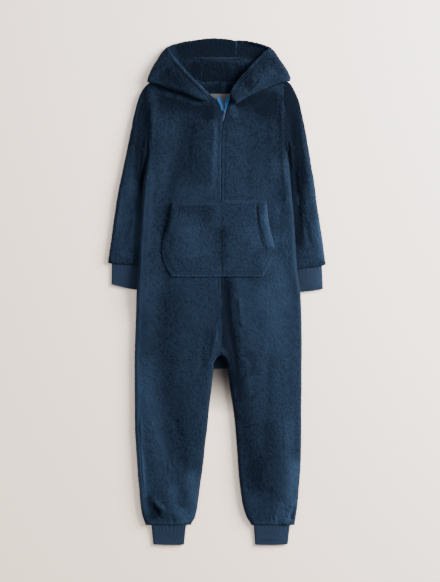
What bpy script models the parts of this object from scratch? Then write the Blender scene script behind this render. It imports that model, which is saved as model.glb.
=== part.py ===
"""A child's hooded one-piece sleepsuit in plush fleece, lying flat on its back with its front up.

Each piece that a maker cuts is one closed wall of cloth. Front and back lie on each other and meet
along the side folds, the shoulders and the inner legs. The sleeves lie a little under the sides.
Lengths are in millimetres: x across, from the middle of the neck, and y up, from the ends of the
ankle cuffs. Left is at -x. PLACE_X and PLACE_Y move the whole to the middle of its own box, and MM
turns it into metres. The surface that it lies on is z = 0.
"""

import bmesh
import bpy
import numpy as np
from mathutils import Vector
from mathutils.bvhtree import BVHTree

MM = 0.001
PLACE_X = 5.0
PLACE_Y = -634.2

# Cloth
PLUSH = 5.0  # wall of the fleece with its pile
HEM_SHARE = 0.42  # what is left of that thickness where a hem is gathered into a cuff
KNIT = 2.2  # doubled cuff knit
TAPE = 1.0  # zip tape and neck label
SEAM = 0.3  # space between two pieces that are sewn or lie on each other

# How the cloth lies
MID = 9.5  # height of the side fold: half the thickness of the lying garment at its edge
ROLL = 9.5  # how far in from an edge the cloth is rolled over
HEM_ROLL = 7.0
TORSO_TOP = 22.0
LEG_TOP = 21.5
SHOULDER_TOP = 18.5
HALF_CUFF = 3.9  # half the thickness of a flat cuff
UNDERARM_Y = 985.0
HEM_Y = 51.0
CROTCH_Y = 470.0
BLEND_Y = 1050.0  # above this the rows of a panel lean over to its shoulder and neckline
ZIP_GROOVE = 3.0  # from the zip's line to each front's turned edge
FRONT_EDGE_ROLL = 3.0


def table(columns, *rows):
    """Rows of numbers as named columns."""
    return dict(zip(columns.split(), (np.array(values, float) for values in zip(*rows))))


# The side folds up to the underarm, and the armhole seams above it
SIDES = table(
    "y left right",
    (40, -182, 187),
    (52, -184, 189),
    (67, -190, 192),
    (87, -195, 195),
    (147, -200, 200),
    (207, -205, 205),
    (287, -210, 206),
    (400, -211, 206.5),
    (507, -210, 207.5),
    (627, -205.5, 204),
    (687, -202.5, 194),
    (787, -197.5, 189),
    (887, -190, 180),
    (930, -185, 177),
    (985, -178, 172.5),
    (1012, -176.5, 170),
    (1050, -174, 167.5),
    (1090, -172, 164),
    (1115, -172.5, 162.5),
    (1147, -176, 162),
    (1180, -178, 162),
)
# The inner edges of the legs, which meet in the crotch's arch
INNER_LEGS = table(
    "y left right",
    (40, -74, 85),
    (52, -70, 81),
    (67, -60, 70),
    (87, -55, 62.5),
    (107, -52, 57.5),
    (147, -47.5, 52.5),
    (187, -41, 48.5),
    (227, -37.5, 46),
    (287, -30, 42),
    (357, -23, 33.5),
    (407, -17.5, 26),
    (440, -13, 21.5),
    (458, -8, 16.5),
    (467, -2, 11),
    (470, 4.5, 4.5),
)
# The line of the zip and, below it, of the centre seam
CENTRE = table(
    "y x",
    (470, 4.5),
    (500, 6),
    (560, 8),
    (620, 5.5),
    (900, 5),
    (1000, 6),
    (1050, 8.5),
    (1080, 13),
)
# From the centre line to each front's edge: a seam, the zip's groove, and the open neck's V
FRONT_EDGES = table(
    "y left right",
    (470, 0.15, 0.15),
    (616, 0.15, 0.15),
    (634, 3, 3),
    (1060, 3, 3),
    (1079, 3.2, 3.6),
    (1097, 9, 10.5),
    (1112, 17, 12.5),
    (1122, 29, 14),
    (1180, 30, 14),
)
# The top of each panel: how far across it, as a share of the way from its side to its centre
FRONT_TOP = table(
    "share left right",
    (0, 1152, 1154),
    (0.3, 1156.5, 1158),
    (0.6, 1164.5, 1164.5),
    (0.67, 1156, 1157),
    (0.76, 1142, 1143),
    (0.88, 1130, 1132),
    (1, 1121, 1124),
)
BACK_TOP = table(
    "share left right",
    (0, 1152, 1154),
    (0.3, 1157, 1158.5),
    (0.53, 1164.5, 1162.5),
    (0.64, 1160.3, 1159.8),
    (0.8, 1159.2, 1158.9),
    (1, 1158.2, 1158.2),
)
# How high a side is lifted by the sleeve that lies under it
LIFT = table(
    "y lift",
    (585, 0),
    (632, 13.4),
    (885, 13.4),
    (905, 10),
    (925, 6),
    (945, 2),
    (962, 0),
)
LIFT_REACH = 46.0
# Thickness of the lying garment up its length, before folds
LYING = table(
    "y top",
    (40, 17.5),
    (70, 18),
    (130, LEG_TOP),
    (420, LEG_TOP),
    (560, TORSO_TOP),
    (1000, TORSO_TOP),
    (1100, SHOULDER_TOP + 1),
    (1170, SHOULDER_TOP),
)
# Each hood side, from its front corner at the zip round to the brim. Every row is one section: it
# leaves its seam (a) along the underside, rolls over at the outline (e) and comes back to the front
# hem (h). under_a and under_e are the underside's heights, top_e and top_h the upper layer's, and
# turn is how far the roll goes round, in degrees from level: along the brim it only turns up.
HOOD_COLUMNS = "a_x a_y under_a e_x e_y under_e top_e h_x h_y top_h turn"
HOOD_SIDES = {
    "left": table(
        HOOD_COLUMNS,
        (-24, 1121, 21.5, -29, 1112, 21.5, 33, -21, 1124, 33, 90),
        (-37, 1129.5, 21.5, -43, 1107.5, 21.5, 37, -35, 1136, 37, 90),
        (-56, 1142.5, 21.5, -78, 1124, 21.5, 39, -51, 1151, 38, 90),
        (-69, 1154, 21.5, -108, 1134, 21.5, 39.5, -64, 1162, 38, 90),
        (-77, 1159, 21.8, -138, 1143.5, 21.5, 39, -74, 1172, 37, 90),
        (-81, 1167, 15.5, -162, 1152, 15, 37, -83, 1183, 35.5, 90),
        (-72, 1169, 5.5, -180, 1157, 7, 33, -92, 1193, 33, 90),
        (-58, 1163.2, 1, -179.5, 1163.5, 4, 31.5, -96, 1198, 32, 90),
        (-43.6, 1162.6, 0.3, -178, 1170, 1, 30, -100, 1203, 31, 90),
        (-43.5, 1176, 4, -172, 1185, 0.3, 29, -107, 1211.5, 30, 90),
        (-43.5, 1200, 11, -164, 1200, 0.3, 28, -113, 1219.5, 30, 90),
        (-45, 1213, 14, -155, 1213, 0.3, 27, -119, 1227.5, 29, 90),
        (-51, 1221, 4, -148, 1226, 0.3, 24, -124.5, 1234.5, 26, 90),
        (-61, 1232, 1, -140, 1236.5, 0.3, 20, -130, 1240, 21, 90),
        (-68, 1243, 0.5, -134.5, 1242.5, 0.3, 14, -133.5, 1242.7, 15, 20),
        (-70.5, 1252, 0.5, -116, 1252.3, 0.3, 9, -115.8, 1252.5, 9, 10),
        (-71, 1262.2, 0.3, -82, 1260.4, 0.3, 8, -81.9, 1260.6, 8, 10),
    ),
    "right": table(
        HOOD_COLUMNS,
        (29, 1124, 21.5, 32, 1112, 21.5, 33, 27.5, 1131, 33, 90),
        (38, 1130, 21.5, 43, 1100.5, 21.5, 37, 35, 1143, 37, 90),
        (54, 1141, 21.5, 66, 1116.5, 21.5, 39, 47, 1159, 38, 90),
        (66, 1153, 21.5, 97, 1131.5, 21.5, 39.5, 57, 1171, 38, 90),
        (75, 1159, 21.8, 125, 1144.5, 21.5, 39, 66, 1181, 37, 90),
        (80, 1167, 15.5, 150, 1155.5, 15, 37, 75, 1191, 35.5, 90),
        (75, 1169, 5.5, 178, 1158.5, 7, 33, 84, 1201, 33, 90),
        (69, 1164, 1, 179.5, 1163.5, 4, 31.5, 88.5, 1206, 32, 90),
        (61.2, 1162.7, 0.3, 180, 1168, 1, 30, 93, 1210.5, 31, 90),
        (61.5, 1176, 4, 174, 1183, 0.3, 29, 101, 1219, 30, 90),
        (61.5, 1200, 11, 164, 1199, 0.3, 28, 108, 1226, 30, 90),
        (59, 1213, 14, 154, 1212, 0.3, 27, 113, 1231, 29, 90),
        (52, 1221, 4, 147, 1224, 0.3, 24, 118, 1235.5, 26, 90),
        (46, 1232, 1, 139, 1235.5, 0.3, 20, 124, 1240.5, 21, 90),
        (43.6, 1243, 0.5, 131.5, 1243.6, 0.3, 14, 130, 1244.1, 15, 20),
        (43.8, 1253, 0.5, 104, 1254.4, 0.3, 9, 103.8, 1254.7, 9, 10),
        (44.3, 1263.4, 0.3, 66, 1262.2, 0.3, 8, 65.9, 1262.4, 8, 10),
    ),
}
NECK_TURN_ROW = 7
HOOD_UNDER = 4  # columns of a hood side's underside
# The hood's centre strip, from the back neck seam over the nape fold to the brim
HOOD_STRIP = table(
    "y left right under rise_to_brim",
    (1162.3, -43.2, 60.7, 0.3, -0.3),
    (1176, -43.2, 61.2, 4, 0),
    (1200, -43.2, 61.2, 11, 0),
    (1213, -44.7, 58.7, 14, 0),
    (1221, -50.7, 51.7, 4, 0),
    (1232, -60.7, 45.7, 1, 0),
    (1243, -67.7, 43.3, 0.5, 0.35),
    (1252, -70.2, 43.5, 0.5, 0.7),
    (1261, -70.7, 44, 0.4, 0.95),
    (1262, -70.7, 44.1, 2.5, 1),
)
# The outer edge of each pocket half: its slanted mouth above, its joined edge below
POCKETS = {
    "left": table(
        "y x",
        (671, -119),
        (700, -134),
        (726, -146),
        (745, -145),
        (770, -137),
        (800, -127),
        (828, -121),
        (855, -117),
    ),
    "right": table(
        "y x",
        (671, 109),
        (702, 127),
        (735, 145),
        (752, 138),
        (775, 129),
        (810, 122),
        (835, 120),
        (860, 119),
    ),
}
POCKET_MOUTH_Y = 742.0
POCKET_WALL = 4.0
POCKET_BAND = {"width": 19.0, "rise": 1.8}
POCKET_CLEAR = 0.9
POCKET_GAPE = {"rise": 2.0, "reach": 34.0}  # how far the mouth stands off the front
POCKET_ROLL = 4.0
# Each zip tape from below the pocket to the neck: its edge at the teeth and its sewn edge
ZIP_TAPES = {
    "left": table(
        "y teeth sewn",
        (632, 5.2, -4),
        (900, 4.7, -4.5),
        (1000, 5.7, -3.5),
        (1050, 8.2, -1),
        (1080, 12.7, 3),
        (1097, 10.5, -1.5),
        (1110, 7.5, -4),
        (1119, 4.5, -4),
    ),
    "right": table(
        "y teeth sewn",
        (632, 5.8, 15),
        (900, 5.3, 14.5),
        (1000, 6.3, 15.5),
        (1050, 8.8, 18),
        (1080, 13.3, 23),
        (1097, 15.2, 27),
        (1110, 16, 29),
        (1119, 16.5, 29),
    ),
}
TAPE_TOPS = {"far": 1100.0, "near": 1078.0}  # above these the fronts' edges have left the tapes
TAPE_CLEAR = 1.3
CHAIN = {"width": 4.8, "tall": 2.0}
SLIDER = {"x": 13.0, "y": 1082.0, "width": 8.0, "length": 10.5, "tall": 3.2, "taper": 0.6}
BRIDGE = {"width": 1.6, "length": 7.4, "bar": 1.2, "opening": 2.0, "post": 1.5, "sunk": 1.0}
# The pull tab: its upper part lies straight, the rest leans over along the zip's line
PULL = {"straight": 6.0, "lean": 0.16, "width": 4.4, "length": 24.0, "thick": 1.1, "clear": 0.45}
PULL_WINDOW = {"width": 2.4, "length": 4.4, "bar": 1.1}
LABEL = {"x": (-22, 33), "y": (1097, 1129), "clear": 0.4}
BRIM_BOW = 7.5  # how far the middle of the brim stands past its seams
HOOD_WALL = 4.6
# The largest folds: the line along the fold, how wide it is and how far it rises or sinks
LEFT_TROUGH = ((-98, 1040), (-127, 885), (-137, 787), (-135, 612), (-127, 487), (-92, 262))
FOLDS = (
    {"width": 19, "rise": -6.0, "line": LEFT_TROUGH},
    {"width": 16, "rise": 2.5, "line": ((-184, 1000), (-180, 700), (-178, 500))},
    {"width": 14, "rise": 3.0, "line": ((-8, 1075), (-14, 960), (-12, 880))},
    {"width": 15, "rise": -6.0, "line": ((23, 650), (30, 562), (42, 480))},
    {"width": 13, "rise": 5.5, "line": ((40, 660), (52, 590), (62, 522), (66, 460), (63, 360))},
    {"width": 13, "rise": 4.0, "line": ((2, 606), (-8, 512), (-17, 487), (-24, 412))},
    {"width": 15, "rise": 3.5, "line": ((-172, 362), (-152, 287), (-127, 225), (-117, 137))},
    {"width": 17, "rise": 4.0, "line": ((165, 612), (165, 400), (164, 120))},
    {"width": 22, "rise": -3.5, "line": ((88, 560), (96, 400), (98, 180))},
    {"width": 24, "rise": 3.0, "line": ((118, 1060), (122, 930), (112, 870))},
    {"width": 20, "rise": 2.5, "line": ((150, 820), (165, 700), (150, 640))},
    {"width": 9, "rise": 3.5, "line": ((-172, 118), (-152, 97), (-132, 80))},
    {"width": 9, "rise": -3.0, "line": ((-158, 108), (-145, 74))},
    {"width": 9, "rise": 3.5, "line": ((192, 112), (176, 75), (165, 52))},
    {"width": 8, "rise": -2.5, "line": ((183, 100), (178, 62))},
)


def along(of, column, y, key="y"):
    """The column's smooth value at each y."""
    keys, values = of[key], of[column]
    steps = np.diff(values) / np.diff(keys)
    before, after = steps[:-1], steps[1:]
    rising = before * after > 0
    between = 2 * before * after / np.where(rising, before + after, 1)
    slopes = np.concatenate([steps[:1], np.where(rising, between, 0), steps[-1:]])
    y = np.clip(np.asarray(y, float), keys[0], keys[-1])
    i = np.clip(np.searchsorted(keys, y, side="right") - 1, 0, len(keys) - 2)
    gap = keys[i + 1] - keys[i]
    t = (y - keys[i]) / gap
    start = values[i] * (1 + 2 * t) * (1 - t) ** 2 + slopes[i] * gap * t * (1 - t) ** 2
    end = values[i + 1] * (3 - 2 * t) * t**2 + slopes[i + 1] * gap * (t - 1) * t**2
    return start + end


def smooth(t):
    t = np.clip(t, 0, 1)
    return t * t * (3 - 2 * t)


def rolled(share):
    """Height of a quarter roll, from 0 at its edge to 1 where the cloth lies level."""
    share = np.clip(share, 0, 1)
    return np.sqrt(1 - (1 - share) ** 2)


def distance(x, y, line):
    """How far each point is from the line, a run of corners."""
    point = np.stack([x, y], -1)[..., None, :]
    corners = np.array(line, float)
    start, step = corners[:-1], np.diff(corners, axis=0)
    t = np.clip(((point - start) * step).sum(-1) / (step**2).sum(-1), 0, 1)
    return np.linalg.norm(point - start - t[..., None] * step, axis=-1).min(-1)


SHOULDER_POINTS = {"left": ((-176, 1152), (-78, 1165)), "right": ((162, 1154), (78, 1165))}
# Each sleeve from the armhole to its hem: the edge under the body and the outer edge
SLEEVES = {
    "left": table(
        "inner_x inner_y outer_x outer_y",
        (-178.4, 985, -176.6, 1151.5),
        (-178.95, 978, -183, 1147.5),
        (-179.85, 970, -195, 1133),
        (-181.85, 955, -205, 1107),
        (-184.2, 932, -215.5, 1066),
        (-187, 900, -226, 1007),
        (-187.5, 862, -239, 950),
        (-187.5, 815, -253, 880),
        (-188, 765, -264, 810),
        (-189, 722, -273.5, 740),
        (-190, 706, -276.5, 716),
        (-190.5, 699, -277.5, 706),
    ),
    "right": table(
        "inner_x inner_y outer_x outer_y",
        (172.8, 985, 162.3, 1153.5),
        (173.7, 978, 176, 1151),
        (174.6, 970, 190.5, 1133),
        (175.8, 955, 202, 1108),
        (176.3, 932, 208.5, 1075),
        (178, 900, 220, 1020),
        (180, 862, 232, 950),
        (180.5, 815, 243, 875),
        (181, 762, 254, 795),
        (182, 712, 264.5, 726),
        (182.5, 696, 267, 708),
        (183, 688, 267.5, 701),
    ),
}
# Each cuff: both ends of its seamed edge and of its free edge, and the height of its middle at each
CUFFS = {
    "wrist_cuff_left": {
        "top": ((-268.5, 705.5), (-199, 699.5)),
        "end": ((-269.5, 652), (-201, 637)),
        "mid": (6.4, 4.6),
    },
    "wrist_cuff_right": {
        "top": ((190, 688.9), (258, 699.2)),
        "end": ((191, 632), (261, 640)),
        "mid": (6.4, 4.6),
    },
    "ankle_cuff_left": {
        "top": ((-169.5, HEM_Y), (-82, HEM_Y)),
        "end": ((-165, 1), (-87, 0)),
        "mid": (8.5, 4.6),
    },
    "ankle_cuff_right": {
        "top": ((86.5, HEM_Y), (178, HEM_Y)),
        "end": ((90, 0), (172.5, 1)),
        "mid": (8.5, 4.6),
    },
}
SLEEVE_INNER_ROLL = 6.4
SLEEVE_OUTER_ROLL = 8.5
ARMHOLE_Y = np.array([985, 1012, 1050, 1090, 1115, 1147])
ARMHOLE_BLEND = 60.0
CUFF_ROLL = 5.0
CUFF_ROWS = (0, 0.06, 0.3, 0.65, 0.96, 1)
CUFF_BOW = 1.5
ZIP_ROWS = np.array([632, 655, 700, 760, 820, 880, 940, 1000, 1040, 1070, 1080, 1088, 1097, 1110, 1119])
SLEEVE_MID = {"inner": 6.4, "outer": 8.0}
SLEEVE_TOP = {"inner": 12.3, "outer": 17.0}
ROLL_ANGLES = np.radians([0, 29, 59, 90])
HEM_STEPS = HEM_ROLL * (1 - np.cos(np.radians([0, 28, 56, 90])))


BODY_ROWS = np.array(
    [*(HEM_Y + HEM_STEPS), 66, 84, 110, 145, 190, 240, 295, 350, 398, 430, 450, 462, 467.5]
    + [CROTCH_Y, 473.5, 480, 492, 520, 560, 605, 636, 670, 715, 765, 815, 860, 895, 925, 950, 970]
    + [UNDERARM_Y, 1005, 1028, BLEND_Y]
)
TOP_SHARES = np.array([0.3, 0.6, 0.82, 0.93, 0.98, 1.0])
MIDDLE_COLUMNS = {1: 6, -1: 4}  # columns of a front and of a back between its edges' rolls
NEAR_EDGE = 0.4  # points this close to a fold's line lie on it


def body_edges():
    """The lines at which the front folds over to the back."""
    edges = list(SHOULDER_POINTS.values())
    for side in ("left", "right"):
        rows = BODY_ROWS[BODY_ROWS <= UNDERARM_Y]
        edges.append(list(zip(along(SIDES, side, rows), rows)))
        rows = BODY_ROWS[BODY_ROWS <= CROTCH_Y]
        edges.append(list(zip(along(INNER_LEGS, side, rows), rows)))
        edges.append(list(zip(SLEEVES[side]["outer_x"], SLEEVES[side]["outer_y"])))
    return edges


EDGES = body_edges()


def edge_distance(x, y, edges):
    nearest = np.min([distance(x, y, line) for line in edges], axis=0)
    return np.maximum(nearest - NEAR_EDGE, 0)


def folds(x, y):
    """Sum of the large folds' heights."""
    return sum(f["rise"] * np.exp(-((distance(x, y, f["line"]) / f["width"]) ** 2)) for f in FOLDS)


def lift(x, y):
    """How high the underside of a side lies, where a sleeve is under it."""
    from_side = np.minimum(x - along(SIDES, "left", y), along(SIDES, "right", y) - x)
    return along(LIFT, "lift", y) * (1 - smooth(from_side / LIFT_REACH))


def half_cuff_at(points, seam):
    """Half thickness, with its clearance, of a flat cuff at points along its seamed edge."""
    start, end = np.array(seam[0], float), np.array(seam[1], float)
    way = (end - start) / np.linalg.norm(end - start)
    place = (points - start) @ way
    from_edge = np.minimum(place, np.linalg.norm(end - start) - place)
    return np.where(from_edge > -0.5, (HALF_CUFF + SEAM) * rolled((from_edge + 0.8) / CUFF_ROLL), 0)


def body_surface(x, y, face):
    """Height of the lying body's outer surface: face is 1 on the front and -1 on the back."""
    edge = rolled(edge_distance(x, y, EDGES) / ROLL)
    low = lift(x, y)
    middle = low + MID
    hem_share = rolled((y - HEM_Y) / HEM_ROLL)
    middle = middle + (CUFFS["ankle_cuff_left"]["mid"][0] - MID) * (1 - smooth((y - HEM_Y) / 60))
    points = np.stack([x, y], -1)
    left_cuff, right_cuff = (half_cuff_at(points, CUFFS["ankle_cuff_" + s]["top"]) for s in ("left", "right"))
    cuff = np.where(x < 0, left_cuff, right_cuff)
    seam_z = middle + face * (SEAM / 2 + np.where(y < HEM_Y + HEM_ROLL, cuff, 0) * (1 - hem_share))
    if face > 0:
        level = low + along(LYING, "top", y) + folds(x, y)
    else:
        level = low
    return seam_z + (level - seam_z) * edge * hem_share


def normals(grid, face, judged=slice(None)):
    """Outward direction at each point of a grid; face says which way the judged columns look."""
    across = np.gradient(grid, axis=1)
    up = np.gradient(grid, axis=0)
    out = np.cross(across, up)
    out /= np.linalg.norm(out, axis=-1, keepdims=True)
    return out * np.sign(out[:, judged, 2].mean()) * face


def level_out(directions, where):
    """Turns the directions of the chosen points into the ground plane, as at a side fold."""
    directions[where, 2] = 0
    directions[where] /= np.linalg.norm(directions[where], axis=-1, keepdims=True)


def make_material(name, colour, roughness, metallic=0.0):
    material = bpy.data.materials.new(name)
    material.use_nodes = True
    shader = material.node_tree.nodes["Principled BSDF"]
    shader.inputs["Base Color"].default_value = (*colour, 1)
    shader.inputs["Roughness"].default_value = roughness
    shader.inputs["Metallic"].default_value = metallic
    return material


def make_object(name, points, faces, material):
    """One closed mesh, its faces turned outwards and its place in its points."""
    mesh = bpy.data.meshes.new(name)
    placed = (np.array(points) + (PLACE_X, PLACE_Y, 0)) * MM
    mesh.from_pydata([tuple(p) for p in placed], [], faces)
    form = bmesh.new()
    form.from_mesh(mesh)
    bmesh.ops.remove_doubles(form, verts=form.verts, dist=0.00002)
    bmesh.ops.recalc_face_normals(form, faces=form.faces)
    bmesh.ops.triangulate(form, faces=form.faces)
    form.to_mesh(mesh)
    form.free()
    mesh.materials.append(material)
    mesh.shade_smooth()
    mesh.set_sharp_from_angle(angle=0.9)
    piece = bpy.data.objects.new(name, mesh)
    bpy.context.scene.collection.objects.link(piece)
    return piece


def wall(name, outer, inner, material):
    """A sheet of cloth: its outer and inner grids of points, joined all round the border."""
    rows, columns = outer.shape[:2]
    size = rows * columns
    number = np.arange(size).reshape(rows, columns)
    faces = []
    for offset, turn in ((0, 1), (size, -1)):
        n = number + offset
        for r in range(rows - 1):
            for c in range(columns - 1):
                faces.append((n[r, c], n[r, c + 1], n[r + 1, c + 1], n[r + 1, c])[::turn])
    border = [*number[0, :], *number[1:, -1], *number[-1, -2::-1], *number[-2:0:-1, 0]]
    for a, b in zip(border, border[1:] + border[:1]):
        faces.append((b, a, a + size, b + size))
    return make_object(name, [*outer.reshape(-1, 3), *inner.reshape(-1, 3)], faces, material)


def tube(name, outer, inner, material):
    """A ring of cloth: each row of the grids is a closed loop, and both ends are open."""
    rows, columns = outer.shape[:2]
    size = rows * columns
    number = np.arange(size).reshape(rows, columns)
    faces = []
    for offset, turn in ((0, 1), (size, -1)):
        n = number + offset
        for r in range(rows - 1):
            for c in range(columns):
                d = (c + 1) % columns
                faces.append((n[r, c], n[r, d], n[r + 1, d], n[r + 1, c])[::turn])
    for r, turn in ((0, -1), (rows - 1, 1)):
        for c in range(columns):
            d = (c + 1) % columns
            a, b = number[r, c], number[r, d]
            faces.append((a, b, b + size, a + size)[::turn])
    return make_object(name, [*outer.reshape(-1, 3), *inner.reshape(-1, 3)], faces, material)


def panel_columns(side_x, centre_x, middle_count, centre_rolled):
    """x of each column of a row, from the side to the centre, close together where the cloth rolls."""
    way = np.sign(centre_x - side_x)
    steps = ROLL * (1 - np.cos(ROLL_ANGLES))
    near_centre = steps if centre_rolled else np.array([0, 1.2, FRONT_EDGE_ROLL, 9])
    start, end = side_x + way * steps, centre_x - way * near_centre[::-1]
    middle = np.linspace(start[-1], end[0], middle_count + 2)[1:-1]
    return np.concatenate([start, middle, end])


def body_grid(side, face, middle_count):
    """Points of a front's or back's outer surface, row by row from the ankle hem to the shoulder."""
    sign = -1 if side == "left" else 1
    top = FRONT_TOP if face > 0 else BACK_TOP
    rows = [(y, 0.0) for y in BODY_ROWS] + [(BLEND_Y, t) for t in TOP_SHARES]
    grid = []
    for y, t in rows:
        if y < CROTCH_Y:
            centre = float(along(INNER_LEGS, side, y))
        elif face > 0:
            centre = float(along(CENTRE, "x", y) + sign * along(FRONT_EDGES, side, y))
        else:
            centre = float(along(CENTRE, "x", min(y, 600)) + sign * SEAM / 2)
        columns = panel_columns(float(along(SIDES, side, y)), centre, middle_count, y < CROTCH_Y)
        share = np.abs(columns - columns[0]) / abs(columns[-1] - columns[0])
        heights = y + t * (np.interp(share, top["share"], top[side]) - y)
        if t > 0:
            sides = along(SIDES, side, heights)
            if face > 0:
                centres = along(CENTRE, "x", heights) + sign * along(FRONT_EDGES, side, heights)
            else:
                centres = np.full_like(heights, centre)
            columns = sides + share * (centres - sides)
            if t == 1:
                (tip_x, tip_y), (neck_x, neck_y) = SHOULDER_POINTS[side]
                on_shoulder = np.abs(columns) >= abs(neck_x)
                line_y = tip_y + (columns - tip_x) / (neck_x - tip_x) * (neck_y - tip_y)
                heights = np.where(on_shoulder, line_y, heights)
        grid.append(np.stack([columns, heights, body_surface(columns, heights, face)], -1))
    return np.array(grid)


def body_thickness(grid):
    """The wall thins where a hem is gathered."""
    near_hem = 1 - smooth((grid[..., 1] - HEM_Y) / 22)
    return PLUSH * (1 - (1 - HEM_SHARE) * near_hem)


def make_body_panel(side, face, material):
    grid = body_grid(side, face, MIDDLE_COLUMNS[face])
    out = normals(grid, face)
    at_edge = edge_distance(grid[..., 0], grid[..., 1], EDGES) == 0
    at_edge |= grid[..., 1] <= HEM_Y + 0.01
    level_out(out, at_edge)
    for column, low_y in ((0, UNDERARM_Y), (-1, CROTCH_Y)):
        # Near a seam that isn't a fold the wall is square to the ground
        from_seam = np.abs(grid[..., 0] - grid[:, [column], 0]) / (2 * PLUSH)
        out[..., 0] *= np.where(grid[..., 1] > low_y, smooth(from_seam), 1)
    out /= np.linalg.norm(out, axis=-1, keepdims=True)
    inner = grid - out * body_thickness(grid)[..., None]
    if face > 0:
        at_zip = np.abs(grid[..., 0] - grid[:, -1:, 0])
        turned = (1 - rolled(at_zip / FRONT_EDGE_ROLL)) * (grid[..., 1] > CROTCH_Y + ROLL)
        grid[..., 2] -= 0.8 * FRONT_EDGE_ROLL * turned
    name = ("front_" if face > 0 else "back_") + side
    return wall(name, grid, inner, material)


def loop_normals(grid):
    """Outward direction at each point of a tube's grid, whose rows are closed loops."""
    across = np.roll(grid, -1, axis=1) - np.roll(grid, 1, axis=1)
    out = np.cross(across, np.gradient(grid, axis=0))
    out /= np.linalg.norm(out, axis=-1, keepdims=True)
    centre = grid.mean(axis=1, keepdims=True)
    return out * np.sign(((grid - centre) * out).sum())


def flat_loop(upper, lower):
    """A loop over the upper side and back along the lower side; the two share their end points."""
    return np.concatenate([upper, lower[-2:0:-1]])


def close_steps(length, first_roll, last_roll, middle_count):
    """Distances across a flat tube, close together where its two edges roll over."""
    bend = 1 - np.cos(ROLL_ANGLES)
    start, end = first_roll * bend, length - last_roll * bend[::-1]
    middle = np.linspace(start[-1], end[0], middle_count + 2)[1:-1]
    return np.concatenate([start, middle, end])


def sleeve_grid(side):
    """Points of a sleeve's outer surface, ring by ring from the armhole to its hem."""
    rings = SLEEVES[side]
    count = len(rings["inner_x"])
    places = [*range(count - 1), *(count - 1 - np.array([0.44, 0.12])), count - 1]
    inner = np.stack([np.interp(places, range(count), rings[c]) for c in ("inner_x", "inner_y")], -1)
    outer = np.stack([np.interp(places, range(count), rings[c]) for c in ("outer_x", "outer_y")], -1)
    outer_lines = [list(map(tuple, outer)), SHOULDER_POINTS[side]]
    hem = [tuple(inner[-1]), tuple(outer[-1])]
    armhole = [(x, y) for x, y in zip(along(SIDES, side, ARMHOLE_Y), ARMHOLE_Y)]
    cuff = CUFFS["wrist_cuff_" + side]["top"]
    grid = []
    for start, end in zip(inner, outer):
        length = np.linalg.norm(end - start)
        share = close_steps(length, SLEEVE_INNER_ROLL, SLEEVE_OUTER_ROLL, 4) / length
        x, y = (start + share[:, None] * (end - start)).T
        if start[1] == UNDERARM_Y:
            ends = np.array([UNDERARM_Y, end[1]])
            x = x + along(SIDES, side, y) - np.interp(y, ends, along(SIDES, side, ends))
        edge = rolled(distance(x, y, list(map(tuple, inner))) / SLEEVE_INNER_ROLL)
        from_outer = np.min([distance(x, y, line) for line in outer_lines], axis=0)
        edge = edge * rolled(from_outer / SLEEVE_OUTER_ROLL)
        edge[[0, -1]] = 0
        at_armhole = 1 - smooth(distance(x, y, armhole) / ARMHOLE_BLEND)
        middle = SLEEVE_MID["inner"] + share * (SLEEVE_MID["outer"] - SLEEVE_MID["inner"])
        middle = middle + at_armhole * (MID - middle)
        top = SLEEVE_TOP["inner"] + smooth(share * 2) * (SLEEVE_TOP["outer"] - SLEEVE_TOP["inner"])
        top = top + at_armhole * (along(LYING, "top", y) - top) + folds(x, y) * smooth(share * 3)
        hem_share = rolled(distance(x, y, hem) / HEM_ROLL)
        in_cuff = np.maximum(half_cuff_at(np.stack([x, y], -1), cuff), SEAM / 2) * (1 - hem_share)
        upper = middle + in_cuff + (top - middle - in_cuff) * edge * hem_share
        lower = middle - in_cuff - (middle - in_cuff) * edge * hem_share
        grid.append(flat_loop(np.stack([x, y, upper], -1), np.stack([x, y, lower], -1)))
    return np.array(grid)


def make_sleeve(side, material):
    grid = sleeve_grid(side)
    out = loop_normals(grid)
    half = grid.shape[1] // 2
    level = np.zeros(grid.shape[:2], bool)
    level[:, [0, half]] = True
    level[-1, :] = True
    out[-1] = grid[-1] - grid[-3]
    out[0, :, 0] = 0
    out[1, :, 0] /= 2
    out /= np.linalg.norm(out, axis=-1, keepdims=True)
    level_out(out, level)
    hem = grid[-1:, :, :2].mean(axis=1)
    near_hem = 1 - smooth((np.linalg.norm(grid[..., :2] - hem[:, None], axis=-1) - 48) / 30)
    near_hem = np.where(np.arange(len(grid))[:, None] >= len(grid) - 5, near_hem, 0)
    thickness = PLUSH * (1 - (1 - HEM_SHARE) * near_hem)
    inner = grid - out * thickness[..., None]
    return tube("sleeve_" + side, grid, inner, material)


def make_cuff(name, material):
    """A flat ring of doubled knit, seamed to a sleeve or leg and lying down on its free edge."""
    shape = CUFFS[name]
    seam, free = np.array(shape["top"], float), np.array(shape["end"], float)
    seam = seam + (free - seam) / np.linalg.norm(free - seam, axis=1, keepdims=True) * SEAM
    grid = []
    for place in CUFF_ROWS:
        start, end = seam + (free - seam) * place
        across = end - start
        length = np.linalg.norm(across)
        share = close_steps(length, CUFF_ROLL, CUFF_ROLL, 3) / length
        x, y = (start + share[:, None] * across).T
        y = y - CUFF_BOW * place * np.sin(np.pi * share)
        middle = shape["mid"][0] + (shape["mid"][1] - shape["mid"][0]) * smooth(place * 1.4)
        half = HALF_CUFF * rolled(np.minimum(share, 1 - share) * length / CUFF_ROLL)
        grid.append(flat_loop(np.stack([x, y, middle + half], -1), np.stack([x, y, middle - half], -1)))
    grid = np.array(grid)
    out = loop_normals(grid)
    out[..., :2] -= out[..., :2].mean(axis=1, keepdims=True)
    level = np.zeros(grid.shape[:2], bool)
    level[:, [0, grid.shape[1] // 2]] = True
    level_out(out, level)
    return tube(name, grid, grid - out * KNIT, material)


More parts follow.
